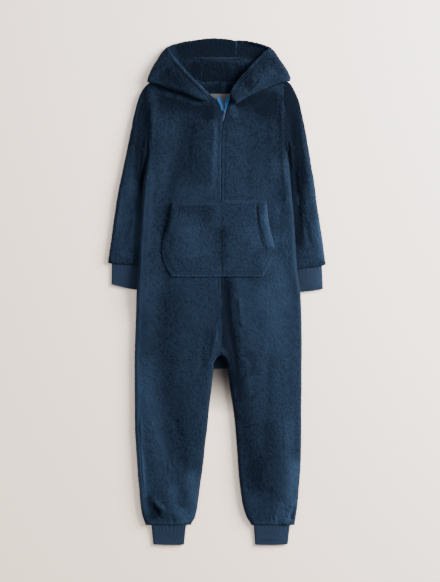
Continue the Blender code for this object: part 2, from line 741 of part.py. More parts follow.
def hood_side_grid(side):
    """Points of a hood side's outer surface: each row runs from its seam round to the front hem."""
    rows = HOOD_SIDES[side]
    under = np.array([0, 0.3, 0.62, 0.88])
    upper = np.array([0.25, 0.55, 0.84, 1])
    grid = []
    for i in range(len(rows["turn"])):
        row = {key: values[i] for key, values in rows.items()}
        seam = np.array([row["a_x"], row["a_y"]])
        turn = np.array([row["e_x"], row["e_y"]])
        hem = np.array([row["h_x"], row["h_y"]])
        radius = (row["top_e"] - row["under_e"]) / 2
        way = (turn - seam) / np.linalg.norm(turn - seam)
        radius_in = min(radius, np.linalg.norm(turn - seam) * 0.45)
        centre = turn - way * radius_in
        points = []
        for t in under:
            height = row["under_a"] + (row["under_e"] - row["under_a"]) * t
            points.append((*(seam + (centre - seam) * t), height))
        for angle in np.radians(np.linspace(-90, row["turn"], 6)):
            rise = radius * (1 + np.sin(angle))
            points.append((*(centre + way * radius_in * np.cos(angle)), row["under_e"] + rise))
        last = np.array(points[-1])
        end = np.array([*hem, row["top_h"]])
        points += [last + (end - last) * t for t in upper]
        grid.append(points)
    return np.array(grid, float)


def make_hood_side(side, material):
    grid = hood_side_grid(side)
    out = normals(grid, -1, slice(0, 3))
    # Where the neck seam turns under, the wall stands midway between its neighbours' directions
    midway = out[NECK_TURN_ROW - 1, :HOOD_UNDER] + out[NECK_TURN_ROW + 1, :HOOD_UNDER]
    out[NECK_TURN_ROW, :HOOD_UNDER] = midway / np.linalg.norm(midway, axis=-1, keepdims=True)
    inner = grid - out * HOOD_WALL
    return wall("hood_" + side, grid, inner, material)


def make_hood_centre(material):
    rows = HOOD_STRIP
    share = np.array([0, 0.12, 0.3, 0.5, 0.7, 0.88, 1])
    grid = []
    columns = (rows[c] for c in ("y", "left", "right", "under", "rise_to_brim"))
    for y, left, right, under, brim in zip(*columns):
        x = left + (right - left) * share
        heights = y + BRIM_BOW * brim * np.sin(np.pi * share)
        grid.append(np.stack([x, heights, np.full_like(x, under)], -1))
    grid = np.array(grid)
    out = normals(grid, -1)
    out[..., 0] = 0
    return wall("hood_centre", grid, grid - out * HOOD_WALL, material)


def tree_of(piece):
    mesh = piece.data
    return BVHTree.FromPolygons([v.co for v in mesh.vertices], [p.vertices for p in mesh.polygons])


def height_on(tree, x, y):
    """Height of a piece's upper side, in millimetres, at a place on the garment."""
    origin = Vector(((x + PLACE_X) * MM, (y + PLACE_Y) * MM, 0.2))
    return tree.ray_cast(origin, Vector((0, 0, -1)))[0].z / MM


def make_pocket(side, front, material):
    """A patch that lies on its front, made from the front's points moved out."""
    tree = tree_of(front)
    outline = POCKETS[side]
    sign = -1 if side == "left" else 1
    low, high = outline["y"][0], outline["y"][-1]
    outer, inner = [], []
    middle_rows = np.linspace(low + 30, high - 22, 5)
    for y in [low, low + POCKET_ROLL, *middle_rows, high - POCKET_ROLL, high]:
        edge = float(np.interp(y, outline["y"], outline["x"]))
        centre = float(along(CENTRE, "x", y)) + sign * (ZIP_GROOVE + SEAM)
        share = np.array([0, 0.03, 0.14, 0.3, 0.5, 0.7, 0.88, 0.97, 1])
        x = edge + (centre - edge) * share
        ground = np.array([height_on(tree, v, y) for v in x])
        ground[-2:] = height_on(tree, centre + sign * 5, y)
        gone_up = smooth((y - POCKET_MOUTH_Y) / 40) * smooth((high + 25 - y) / 60)
        from_mouth = np.abs(x - edge)
        mouth = gone_up * (1 - smooth((from_mouth - POCKET_BAND["width"]) / 8))
        gape = POCKET_GAPE["rise"] * gone_up * (1 - smooth(from_mouth / POCKET_GAPE["reach"]))
        under = ground + POCKET_CLEAR + gape
        border = np.minimum(share, 1 - share) * abs(edge - centre)
        round_off = rolled(np.minimum(border, min(y - low, high - y)) / POCKET_ROLL + 0.12)
        thick = (POCKET_WALL + POCKET_BAND["rise"] * mouth) * (0.45 + 0.55 * round_off)
        inner.append(np.stack([x, np.full_like(x, y), under], -1))
        outer.append(np.stack([x, np.full_like(x, y), under + thick], -1))
    return wall("pocket_" + side, np.array(outer), np.array(inner), material)


def tape_height(trees, y):
    """Top of the zip tapes: under both fronts' edges, all the way up."""
    tops = []
    for side, far, near in (("left", -22, -7), ("right", 24, 7)):
        centre = float(along(CENTRE, "x", y))
        tops.append(height_on(trees[side], centre + far, min(y, TAPE_TOPS["far"])))
        tops.append(height_on(trees[side], centre + near, min(y, TAPE_TOPS["near"])))
    return min(tops) - PLUSH - TAPE_CLEAR


def make_zip_tape(side, trees, material):
    rows = ZIP_TAPES[side]
    outer, inner = [], []
    for y in ZIP_ROWS:
        teeth, sewn = (float(np.interp(y, rows["y"], rows[c])) for c in ("teeth", "sewn"))
        x = np.array([teeth, (teeth + sewn) / 2, sewn])
        top = np.full(3, tape_height(trees, y))
        outer.append(np.stack([x, np.full(3, y), top], -1))
        inner.append(np.stack([x, np.full(3, y), top - TAPE], -1))
    return wall("zip_tape_" + side, np.array(outer), np.array(inner), material)


def make_chain(trees, material):
    """The closed row of teeth, as one bar; it ends under the slider's lower end."""
    outer, inner = [], []
    end = SLIDER["y"] - SLIDER["length"] / 2 - SEAM
    for y in [*ZIP_ROWS[(ZIP_ROWS > 640) & (ZIP_ROWS < end - 3)], end]:
        middle = float(along(CENTRE, "x", y))
        x = middle + CHAIN["width"] * np.array([-0.5, -0.3, 0.3, 0.5])
        base = tape_height(trees, y) + SEAM
        heights = base + CHAIN["tall"] * np.array([0.55, 1, 1, 0.55])
        outer.append(np.stack([x, np.full(4, y), heights], -1))
        inner.append(np.stack([x, np.full(4, y), np.full(4, base)], -1))
    return wall("zip_chain", np.array(outer), np.array(inner), material)


def block(low, high, taper=0.0):
    """Corner points and faces of a block whose top is drawn in by taper."""
    points = []
    for z, inset in ((low[2], 0), (high[2], taper)):
        x0, x1 = low[0] + inset, high[0] - inset
        y0, y1 = low[1] + inset, high[1] - inset
        points += [(x0, y0, z), (x1, y0, z), (x1, y1, z), (x0, y1, z)]
    faces = [(0, 3, 2, 1), (4, 5, 6, 7), (0, 1, 5, 4), (1, 2, 6, 5), (2, 3, 7, 6), (3, 0, 4, 7)]
    return points, faces


def slider_base(trees):
    return tape_height(trees, SLIDER["y"]) + SEAM


def make_slider(trees, material):
    """The slider's body and, over it, the bridge that the pull tab turns on, cut from one block."""
    base = slider_base(trees)
    x, y = SLIDER["x"], SLIDER["y"]
    half_width, half_length = SLIDER["width"] / 2, SLIDER["length"] / 2
    top = base + SLIDER["tall"]
    low, high = (x - half_width, y - half_length, base), (x + half_width, y + half_length, top)
    body = make_object("zip_slider", *block(low, high, SLIDER["taper"]), material)
    reach, half_bridge = BRIDGE["length"] / 2, BRIDGE["width"] / 2
    bridge_top = top + BRIDGE["opening"] + BRIDGE["bar"]
    low, high = (x - half_bridge, y - reach, top - BRIDGE["sunk"]), (x + half_bridge, y + reach, bridge_top)
    arch = make_object("bridge", *block(low, high), material)
    inside = reach - BRIDGE["post"]
    low, high = (x - half_width, y - inside, top), (x + half_width, y + inside, top + BRIDGE["opening"])
    opening = make_object("opening", *block(low, high), material)
    for target, operation, other in ((arch, "DIFFERENCE", opening), (body, "UNION", arch)):
        boolean = target.modifiers.new(operation, "BOOLEAN")
        boolean.operation = operation
        boolean.object = other
        other.hide_render = True
        other.display_type = "WIRE"
    return body


def make_pull(trees, material):
    """The pull tab: a plate with a window at its upper end, whose end bar lies under the bridge."""
    base = slider_base(trees) + SLIDER["tall"] + PULL["clear"]
    x, half_width = SLIDER["x"], PULL["width"] / 2
    high_y = SLIDER["y"] + PULL_WINDOW["bar"] / 2
    bend_y, low_y = high_y - PULL["straight"], high_y - PULL["length"]
    rows = []
    for y in (low_y, bend_y, high_y):
        middle = x + PULL["lean"] * min(y - bend_y, 0)
        rows.append([(middle - half_width, y, base), (middle + half_width, y, base)])
    lower = np.array(rows)
    plate = wall("zip_pull", lower + (0, 0, PULL["thick"]), lower, material)
    window_y = high_y - PULL_WINDOW["bar"]
    half_window = PULL_WINDOW["width"] / 2
    low = (x - half_window, window_y - PULL_WINDOW["length"], base - PULL["thick"])
    high = (x + half_window, window_y, base + 2 * PULL["thick"])
    window = make_object("window", *block(low, high), material)
    window.hide_render = True
    window.display_type = "WIRE"
    cut = plate.modifiers.new("window", "BOOLEAN")
    cut.object = window
    bevel = plate.modifiers.new("soft edges", "BEVEL")
    bevel.width = 0.2 * MM
    bevel.segments = 1
    return plate


def make_label(material):
    (x0, x1), (y0, y1) = LABEL["x"], LABEL["y"]
    outer, inner = [], []
    for y in (y0, (y0 + y1) / 2, y1):
        x = np.linspace(x0, x1, 3)
        base = PLUSH + LABEL["clear"]
        outer.append(np.stack([x, np.full(3, y), np.full(3, base + TAPE)], -1))
        inner.append(np.stack([x, np.full(3, y), np.full(3, base)], -1))
    return wall("neck_label", np.array(outer), np.array(inner), material)


def main():
    for old in list(bpy.data.objects):
        bpy.data.objects.remove(old)
    plush = make_material("plush", (0.02, 0.05, 0.095), 0.95)
    trees = {}
    for side in ("left", "right"):
        make_body_panel(side, -1, plush)
        front = make_body_panel(side, 1, plush)
        trees[side] = tree_of(front)
        make_pocket(side, front, plush)
        make_sleeve(side, plush)
        make_hood_side(side, plush)
    make_hood_centre(plush)
    knit = make_material("cuff_knit", (0.035, 0.075, 0.15), 0.9)
    for name in CUFFS:
        make_cuff(name, knit)
    tape = make_material("zip_tape", (0.06, 0.18, 0.38), 0.7)
    for side in ("left", "right"):
        make_zip_tape(side, trees, tape)
    moulded = make_material("zip_teeth", (0.03, 0.07, 0.14), 0.4)
    make_chain(trees, moulded)
    make_slider(trees, moulded)
    make_pull(trees, moulded)
    make_label(make_material("label", (0.36, 0.35, 0.33), 0.8))


main()
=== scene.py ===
import math

import bmesh
import bpy
import numpy as np
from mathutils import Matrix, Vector, noise
from mathutils.bvhtree import BVHTree


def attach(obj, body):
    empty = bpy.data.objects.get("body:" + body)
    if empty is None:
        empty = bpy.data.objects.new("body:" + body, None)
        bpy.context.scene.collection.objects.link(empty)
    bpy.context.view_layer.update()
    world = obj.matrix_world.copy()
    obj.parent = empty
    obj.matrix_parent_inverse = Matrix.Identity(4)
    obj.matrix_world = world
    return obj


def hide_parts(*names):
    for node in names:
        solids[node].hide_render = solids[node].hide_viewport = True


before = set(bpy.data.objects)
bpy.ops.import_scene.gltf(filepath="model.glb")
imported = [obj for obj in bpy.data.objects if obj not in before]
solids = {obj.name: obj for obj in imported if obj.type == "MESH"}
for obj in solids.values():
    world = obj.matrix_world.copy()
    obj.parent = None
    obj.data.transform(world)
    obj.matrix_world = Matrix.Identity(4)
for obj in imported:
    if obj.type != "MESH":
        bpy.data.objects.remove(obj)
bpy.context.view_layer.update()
mm = 0.001

# Places on the garment are in millimetres: x from the middle of the neck, y from the ends of the
# ankle cuffs. neckShift moves them to the frame, in metres.
neckShift = Vector((0.005, -0.6342, 0))


def place(x, y, z=0.0):
    return Vector((x, y, z)) * mm + neckShift


def say(words):
    print("scene:", words)


# Shader maths
class Wire:
    # a socket, or a sum of sockets
    def __init__(self, finish, socket):
        self.finish, self.socket = finish, socket

    def __add__(self, other):
        return self.finish.maths("ADD", self, other)

    def __sub__(self, other):
        return self.finish.maths("SUBTRACT", self, other)

    def __rsub__(self, other):
        return self.finish.maths("SUBTRACT", other, self)

    def __mul__(self, other):
        return self.finish.maths("MULTIPLY", self, other)

    __radd__ = __add__
    __rmul__ = __mul__


class Finish:
    # a material while it is put together
    def __init__(self, name, shaderValues):
        self.material = bpy.data.materials.new(name)
        self.material.use_nodes = True
        self.tree = self.material.node_tree
        self.shader = self.tree.nodes["Principled BSDF"]
        for socketName, value in shaderValues.items():
            self.shader.inputs[socketName].default_value = value

    def node(self, kind, settings, inputs, output=0):
        made = self.tree.nodes.new(kind)
        for name, value in settings.items():
            setattr(made, name, value)
        for name, value in inputs.items():
            if isinstance(value, Wire):
                self.tree.links.new(value.socket, made.inputs[name])
            else:
                made.inputs[name].default_value = value
        return Wire(self, made.outputs[output])

    def maths(self, operation, *values):
        return self.node("ShaderNodeMath", {"operation": operation}, dict(enumerate(values)))

    def mixed(self, share, first, second):
        # the two colours are sockets 6 and 7, and the mix of them is output 2
        first, second = ((*c, 1) if isinstance(c, tuple) else c for c in (first, second))
        colours = {0: share, 6: first, 7: second}
        return self.node("ShaderNodeMix", {"data_type": "RGBA"}, colours, 2)

    def coords(self):
        return self.node("ShaderNodeTexCoord", {}, {}, "Object")

    def axis(self, number):
        # the place along x (0) or y (1)
        return self.node("ShaderNodeSeparateXYZ", {}, {0: self.coords()}, number)

    def noise(self, scale, detail=2.0, roughness=0.5, stretch=(1, 1, 1)):
        coords = self.node("ShaderNodeMapping", {}, {"Vector": self.coords(), "Scale": stretch})
        values = {"Vector": coords, "Scale": scale, "Detail": detail, "Roughness": roughness}
        return self.node("ShaderNodeTexNoise", {}, values)

    def cells(self, scale):
        values = {"Vector": self.coords(), "Scale": scale}
        return self.node("ShaderNodeTexVoronoi", {"feature": "F1"}, values)

    def attribute(self, name):
        return self.node("ShaderNodeAttribute", {"attribute_name": name}, {}, "Fac")

    def feed(self, socketName, wire):
        self.tree.links.new(wire.socket, self.shader.inputs[socketName])

    def bump(self, height, distance):
        values = {"Height": height, "Distance": distance, "Strength": 1}
        self.feed("Normal", self.node("ShaderNodeBump", {}, values, "Normal"))


# The plush: darker deep between its clumps of pile and in its pressed seams, paler and bluer at the
# clumps' tips; that darkening is painted shade. Strokes over the pieces lighten or darken broad
# areas: mostly painted light and shade, partly the lie of the nap.
plushLook = {
    "shader": {
        "Roughness": 0.92,
        "Sheen Weight": 0.07,
        "Sheen Roughness": 0.35,
        "Sheen Tint": (0.35, 0.58, 0.95, 1),
        "Specular IOR Level": 0.08,
    },
    "deep": (0.0006, 0.0026, 0.0074),
    "tip": (0.0128, 0.026, 0.0505),
    "strandsPerMetre": 1100,
    "curlsPerMetre": 330,
    "patchesPerMetre": 14,
    "paleness": {"start": -0.14, "pile": 0.26, "strands": 0.46, "patches": 0.24, "napAndPaintedLight": 0.42},
    "bump": {"strands": 0.7, "curls": 0.5, "height": 0.0011},
}


def plushFinish():
    look, share, bump = plushLook, plushLook["paleness"], plushLook["bump"]
    finish = Finish("plushPile", look["shader"])
    strands = finish.noise(look["strandsPerMetre"], 3, 0.65)
    curls = finish.cells(look["curlsPerMetre"])
    patches = finish.noise(look["patchesPerMetre"], 2, 0.55)
    # the pile's tone is painted shade deep between the clumps and in the seams
    paleness = finish.attribute("pile") * share["pile"] + strands * share["strands"]
    # the strokes' tone: painted light and shade, partly the lie of the nap
    paleness += patches * share["patches"] + finish.attribute("napAndPaintedLight") * share["napAndPaintedLight"]
    finish.feed("Base Color", finish.mixed(paleness + share["start"], look["deep"], look["tip"]))
    finish.bump(strands * bump["strands"] + (1 - curls) * bump["curls"], bump["height"])
    return finish.material


# Fine ribs that run down each cuff, paler on their crests and darker in the valleys between them:
# painted shade
knitLook = {
    "shader": {
        "Roughness": 0.85,
        "Sheen Weight": 0.05,
        "Sheen Roughness": 0.4,
        "Sheen Tint": (0.4, 0.6, 0.9, 1),
        "Specular IOR Level": 0.15,
    },
    "dark": (0.0042, 0.0097, 0.0225),
    "light": (0.0091, 0.019, 0.0395),
    "ribPitch": 2.3,
    "yarnPerMetre": 1500,
    "patchesPerMetre": 30,
    "paleness": {"start": -0.1, "rib": 0.4, "yarn": 0.4, "patches": 0.3, "napAndPaintedLight": 0.55},
    "bump": {"rib": 0.6, "yarn": 0.4, "height": 0.0004},
}


def knitFinish():
    look, share, bump = knitLook, knitLook["paleness"], knitLook["bump"]
    finish = Finish("cuffKnit", look["shader"])
    wave = finish.maths("SINE", finish.axis(0) * (math.tau / (look["ribPitch"] * mm)))
    rib = wave * 0.5 + 0.5
    yarn = finish.noise(look["yarnPerMetre"], 2, 0.6)
    patches = finish.noise(look["patchesPerMetre"], 2, 0.5)
    # painted shade in the ribs' valleys, yarn and patches that vary at random, and the strokes of
    # painted light and shade
    paleness = rib * share["rib"] + yarn * share["yarn"] + patches * share["patches"]
    paleness += finish.attribute("napAndPaintedLight") * share["napAndPaintedLight"] + share["start"]
    finish.feed("Base Color", finish.mixed(paleness, look["dark"], look["light"]))
    finish.bump(rib * bump["rib"] + yarn * bump["yarn"], bump["height"])
    return finish.material


# Woven tapes and thread: two sets of threads that cross
wovenLook = {
    "shader": {"Roughness": 0.8, "Sheen Weight": 0.03, "Specular IOR Level": 0.15},
    "slimness": 0.2,  # a thread's thickness by its length
    "paleness": {"start": -0.1, "across": 0.6, "down": 0.6},
    "bumpHeight": 0.0003,
}


def wovenFinish(name, dark, light, threadsPerMetre):
    share, slim = wovenLook["paleness"], wovenLook["slimness"]
    finish = Finish(name, wovenLook["shader"])
    across = finish.noise(threadsPerMetre, 1, 0.4, (1, slim, 1))
    down = finish.noise(threadsPerMetre, 1, 0.4, (slim, 1, 1))
    paleness = across * share["across"] + down * share["down"] + share["start"]
    finish.feed("Base Color", finish.mixed(paleness, dark, light))
    finish.bump(across + down, wovenLook["bumpHeight"])
    return finish.material


# The moulded teeth, slider and pull: a little duller and darker where they are worn
mouldedLook = {
    "shader": {"Roughness": 0.5, "Specular IOR Level": 0.3},
    "dark": (0.0035, 0.0126, 0.0315),
    "light": (0.0065, 0.0234, 0.0585),
    "wearPerMetre": 220,
    "roughness": {"start": 0.38, "wear": 0.25},
    "bumpHeight": 0.0001,
}


def mouldedFinish():
    look, rough = mouldedLook, mouldedLook["roughness"]
    finish = Finish("zipMoulded", look["shader"])
    wear = finish.noise(look["wearPerMetre"], 3, 0.6)
    finish.feed("Base Color", finish.mixed(wear, look["dark"], look["light"]))
    finish.feed("Roughness", wear * rough["wear"] + rough["start"])
    finish.bump(wear, look["bumpHeight"])
    return finish.material


plush = plushFinish()
cuffKnit = knitFinish()
zipTape = wovenFinish("zipTapeWeave", (0.004, 0.038, 0.125), (0.014, 0.085, 0.25), 1400)
labelTape = wovenFinish("labelWeave", (0.042, 0.0435, 0.047), (0.075, 0.077, 0.08), 1600)
zipMoulded = mouldedFinish()
threadFinish = wovenFinish("sewingThread", (0.006, 0.013, 0.026), (0.013, 0.026, 0.048), 3000)


# Camera, lights and floor, in metres
studio = {
    "cameraAt": (0.0075, 0.0008, 4.055),
    "lens": 100,
    "sensorWidth": 36,
    "ambient": {"Color": (0.95, 0.97, 1, 1), "Strength": 0.5},
    "key": {"at": (2.5, 1.15, 1.75), "size": 2.0, "power": 490, "colour": (1, 0.985, 0.965)},
    "overhead": {"at": (-0.2, 0.3, 3.6), "size": 3.2, "power": 70, "colour": (0.98, 0.99, 1)},
}
floorLook = {
    "size": 12,
    "height": -0.0005,
    # The floor is paler towards the upper right, where the key lamp stands, and warmer and darker
    # towards the lower left: painted light and shade. Its patches are its own uneven tone.
    "shadedWarm": (0.985, 0.795, 0.66),
    "pale": (0.98, 0.865, 0.795),
    "paleness": {"start": 0.4, "x": 0.8, "y": 0.5, "patches": 0.1},
    "patchesPerMetre": 1.2,
    # a painted shadow on the floor under the crotch, darkest at this place and fading out over its
    # reach
    "deepShadeAt": (15, 448),  # under the crotch, where the least light reaches the floor
    "deepShadeReach": 0.125,
    "deepShadeFall": 2.4,
    "deepShade": (0.012, 0.01, 0.01),
}


def areaLight(name, at, size, power, colour):
    light = bpy.data.lights.new(name, "AREA")
    light.size, light.energy, light.color = size, power, colour
    lamp = bpy.data.objects.new(name, light)
    lamp.location = at
    lamp.rotation_euler = (-Vector(at)).to_track_quat("-Z", "Y").to_euler()
    bpy.context.scene.collection.objects.link(lamp)


def makeStudio():
    camera = bpy.data.cameras.new("camera")
    camera.lens = studio["lens"]
    camera.sensor_width = studio["sensorWidth"]
    cameraObject = bpy.data.objects.new("camera", camera)
    cameraObject.location = studio["cameraAt"]
    bpy.context.scene.collection.objects.link(cameraObject)
    bpy.context.scene.camera = cameraObject
    areaLight("key", **studio["key"])
    areaLight("overhead", **studio["overhead"])
    world = bpy.data.worlds.new("studio")
    world.use_nodes = True
    for socketName, value in studio["ambient"].items():
        world.node_tree.nodes["Background"].inputs[socketName].default_value = value
    bpy.context.scene.world = world


def floorFinish():
    look, share = floorLook, floorLook["paleness"]
    finish = Finish("paleFloor", {"Roughness": 0.9})
    # painted light and shade across the floor, with its own uneven patches
    paleness = finish.axis(0) * share["x"] + finish.axis(1) * share["y"]
    paleness += finish.noise(look["patchesPerMetre"]) * share["patches"] + share["start"]
    pale = finish.mixed(paleness, look["shadedWarm"], look["pale"])
    # the painted shadow under the crotch: the floor darkens towards it
    ends = {0: finish.coords(), 1: place(*look["deepShadeAt"])}
    apart = finish.node("ShaderNodeVectorMath", {"operation": "DISTANCE"}, ends, "Value")
    lit = finish.maths("POWER", apart * (1 / look["deepShadeReach"]), look["deepShadeFall"])
    finish.feed("Base Color", finish.mixed(lit, look["deepShade"], pale))
    return finish.material


def makeFloor():
    bpy.ops.mesh.primitive_plane_add(size=floorLook["size"], location=(0, 0, floorLook["height"]))
    floor = bpy.context.object
    floor.name = "floor"
    floor.data.materials.append(floorFinish())


makeStudio()
makeFloor()
say("studio ready")


# The plush pieces: each is a fine copy of its solid's form, with creases, seams and pile laid in.
# Sizes are in millimetres.
pileLook = {
    "curl": 5.2,  # spacing of the clumps
    "curlHeight": 0.9,
    "curlMiddle": 0.45,
    "curlBend": 0.35,  # how far the clumps' places wander, by their spacing
    "curlBendReach": 1.7,
    "curlSpread": 1.25,
    "curlRound": 1.6,
    "seed": 11,  # fixes which way the clumps wander
    "tuft": 2.6,  # spacing of the small tufts on the clumps
    "tuftHeight": 0.5,
    "tuftPale": 0.2,
    "swell": 1.1,  # slow unevenness of the laid cloth
    "swellReach": 55,
    "seamDip": 1.2,
    "seamFlat": 0.85,  # how much of its unevenness the pile loses in a seam
    # the pale tips lost in a seam are a painted shade in its dip
    "seamPaintedShade": 0.7,  # how much of its pale tips
    "seamClose": 0.5,  # how far each piece grows toward its neighbour across a seam
    "pucker": 0.22,  # how much shallower a seam gets between its stitches
    "puckerPitch": 11,
}
# Each effect sets in between these two values of the upright part of a point's normal.
facing = {"crease": (0.1, 0.6), "seam": (-0.2, 0.2), "napAndPaintedLight": (-0.5, 0.3), "wall": (0.8, 0.5)}
noise.seed_set(pileLook["seed"])


def smooth(t):
    t = np.clip(t, 0, 1)
    return t * t * (3 - 2 * t)


def ramp(values, start, end):
    # 0 before the start, 1 past the end, and smooth between them; the end may be the lower one
    return smooth((values - start) / (end - start))


def bell(distance, width):
    return np.exp(-((distance / width) ** 2))


def cornersOf(line):
    # a line's corners, the steps between them, their lengths, and the way gone before each corner
    corners = np.array(line, float)
    steps = np.diff(corners, axis=0)
    lengths = np.linalg.norm(steps, axis=1)
    return corners, steps, lengths, np.concatenate([[0], np.cumsum(lengths)])


def lengthOf(line):
    return cornersOf(line)[3][-1]


def farFrom(points, line):
    # distance of each point from the line, and its place along it from 0 to 1
    corners, steps, lengths, gone = cornersOf(line)
    best = np.full(len(points), np.inf)
    where = np.zeros(len(points))
    for start, step, length, before in zip(corners, steps, lengths, gone):
        t = np.clip(((points - start) @ step) / length**2, 0, 1)
        distance = np.linalg.norm(points - start - t[:, None] * step, axis=1)
        nearer = distance < best
        best[nearer] = distance[nearer]
        where[nearer] = (before + t[nearer] * length) / gone[-1]
    return best, where


def endFade(along, rate, start=0.0):
    return smooth(along * rate + start) * smooth((1 - along) * rate + start)


# How creases wander: size, waves along the crease, and how far the next crease's waves are shifted
creaseLook = {
    "endFade": 5,
    "height": (0.25, 11, 2.1),
    "fineHeight": (0.12, 29, 1),
    "width": (0.22, 7, 1.3),
}


def wander(along, number, size, waves, shift):
    return size * np.sin(along * waves + number * shift)


def creaseHeights(points, creases):
    total = np.zeros(len(points))
    for number, (width, rise, line) in enumerate(creases):
        distance, along = farFrom(points, line)
        uneven = 1 + wander(along, number, *creaseLook["height"])
        uneven += wander(along, number, *creaseLook["fineHeight"])
        unevenWidth = width * (1 + wander(along, number, *creaseLook["width"]))
        fade = endFade(along, creaseLook["endFade"])
        total += rise * fade * uneven * bell(distance, unevenWidth)
    return total


# How the strokes of painted light and shade fade at their ends, and how deep their beads go
napAndPaintedLightLook = {"endFade": 6, "endFadeStart": 0.2, "beadDepth": 0.6}


def napAndPaintedLightTone(points, normals, strokes):
    # the tone of the strokes at each point: painted light and shade, partly the lie of the nap
    total = np.zeros(len(points))
    for width, tone, line, *beads in strokes:
        distance, along = farFrom(points, line)
        fade = endFade(along, napAndPaintedLightLook["endFade"], napAndPaintedLightLook["endFadeStart"])
        if beads:
            beadWaves = lengthOf(line) * math.tau / beads[0]
            fade *= 1 + napAndPaintedLightLook["beadDepth"] * np.sin(along * beadWaves)
        total += tone * fade * bell(distance, width)
    return total * ramp(normals[:, 2], *facing["napAndPaintedLight"])


def seamDepths(points, normals, seams):
    # how far the stitches press the pile down, from 0 to 1
    pressed = np.zeros(len(points))
    for width, depth, line in seams:
        distance, along = farFrom(points, line)
        stitches = along * lengthOf(line) / pileLook["puckerPitch"]
        pucker = 1 - pileLook["pucker"] * (1 + np.sin(stitches * math.tau))
        pressed = np.maximum(pressed, depth * pucker * bell(distance, width))
    return pressed * ramp(normals[:, 2], *facing["seam"])


# How the pieces close up where the solids leave room: the fronts' pile meets over the zip, the arch
# of the crotch opens wider and the backs hang in it as a dark sheet standing in for the shade
# there, the backs meet the hood's strip at the neck, the shoulders stand higher, the sleeves tuck
# in under the arms, and the plush reaches over each cuff. Pairs are the places from which to which
# something sets in.
closing = {
    "zip": {
        "x": (4.5, 6, 8, 5.5, 5, 6, 8.5, 12.3),
        "y": (470, 500, 560, 620, 900, 1000, 1050, 1075),
        "push": 3.4,
        "pushFrom": 0.2,
        "pushWidth": 10,
        "pushFoot": (474, 486),
        "pushNeck": (1070, 1045),
        "raise": 1.2,
        "raiseWidth": 3,
        "raiseFoot": (480, 500),
        "raiseNeck": (1060, 1030),
        "pocketFoot": (600, 620),
        "belowPocket": 0.6,  # share of the raise from the pocket down
    },
    "arch": {
        "line": (
            (-17.5, 407), (-13, 440), (-8, 458), (-2, 467), (4.5, 470),
            (11, 467), (16.5, 458), (21.5, 440), (26, 407),
        ),
        "centre": (4.5, 448),
        "widen": 4,
        "widenWidth": 9,
        "widenFoot": (441, 451),
        "reach": 18,
        "top": (510, 490),
        "end": 440,  # where the backs' cloth hangs down to
        "hang": 0.95,
        "sink": 7,
        "sinkRun": 12,
        "seamPush": 0.7,
        "seamWidth": 4,
    },
    "neck": {"push": 2.6, "edge": (1152, 1157), "middle": 8, "side": (75, 65)},
    "strip": {"push": 1.2, "edge": (1170, 1163)},
    "shoulders": {
        "rise": 4.5,
        "x": (-160, 172),
        "share": (1, 1.7),
        "width": 22,
        "foot": (1115, 1150),
    },
    "underarm": {"tuck": 1.6, "foot": (840, 880), "top": (1120, 1060), "side": (196, 182)},
    "hem": {"reach": 1.8, "width": 9, "ankle": (60, 51)},
    "sleeveHems": {
        "sleeve_left": ((-268.5, 705.8), (-199, 699.8)),
        "sleeve_right": ((190, 689.2), (258, 699.5)),
    },
}


def closeOverZip(move, flatPlace):
    look, y = closing["zip"], flatPlace[:, 1]
    fromZip = flatPlace[:, 0] - np.interp(y, look["y"], look["x"])
    push = np.clip(np.abs(fromZip) - look["pushFrom"], 0, look["push"])
    push *= ramp(y, *look["pushFoot"]) * ramp(y, *look["pushNeck"])
    move[:, 0] -= np.sign(fromZip) * push * bell(fromZip, look["pushWidth"])
    lift = look["raise"] * bell(fromZip, look["raiseWidth"])
    lift *= ramp(y, *look["raiseFoot"]) * ramp(y, *look["raiseNeck"])
    above = ramp(y, *look["pocketFoot"])
    move[:, 2] += lift * (look["belowPocket"] + (1 - look["belowPocket"]) * above)


def widenArch(move, flatPlace):
    look = closing["arch"]
    distance, _ = farFrom(flatPlace, look["line"])
    outward = flatPlace - np.array(look["centre"])
    outward /= np.maximum(np.linalg.norm(outward, axis=1), 1)[:, None]
    near = bell(distance, look["widenWidth"]) * ramp(flatPlace[:, 1], *look["widenFoot"])
    move[:, :2] += outward * (look["widen"] * near)[:, None]


def hangInArch(move, flatPlace):
    # the backs' upper edge comes down into the arch, sinks a little and closes at its seam; with
    # its near-black stroke it is a dark sheet standing in for the shade under the crotch
    look, y = closing["arch"], flatPlace[:, 1]
    distance, _ = farFrom(flatPlace, look["line"])
    near = bell(distance, look["reach"]) * ramp(y, *look["top"])
    fromSeam = flatPlace[:, 0] - look["centre"][0]
    move[:, 0] -= np.sign(fromSeam) * look["seamPush"] * bell(fromSeam, look["seamWidth"]) * near
    move[:, 1] -= np.maximum(y - look["end"], 0) * look["hang"] * near
    move[:, 2] -= look["sink"] * near * ramp(y, look["end"] - look["sinkRun"], look["end"])


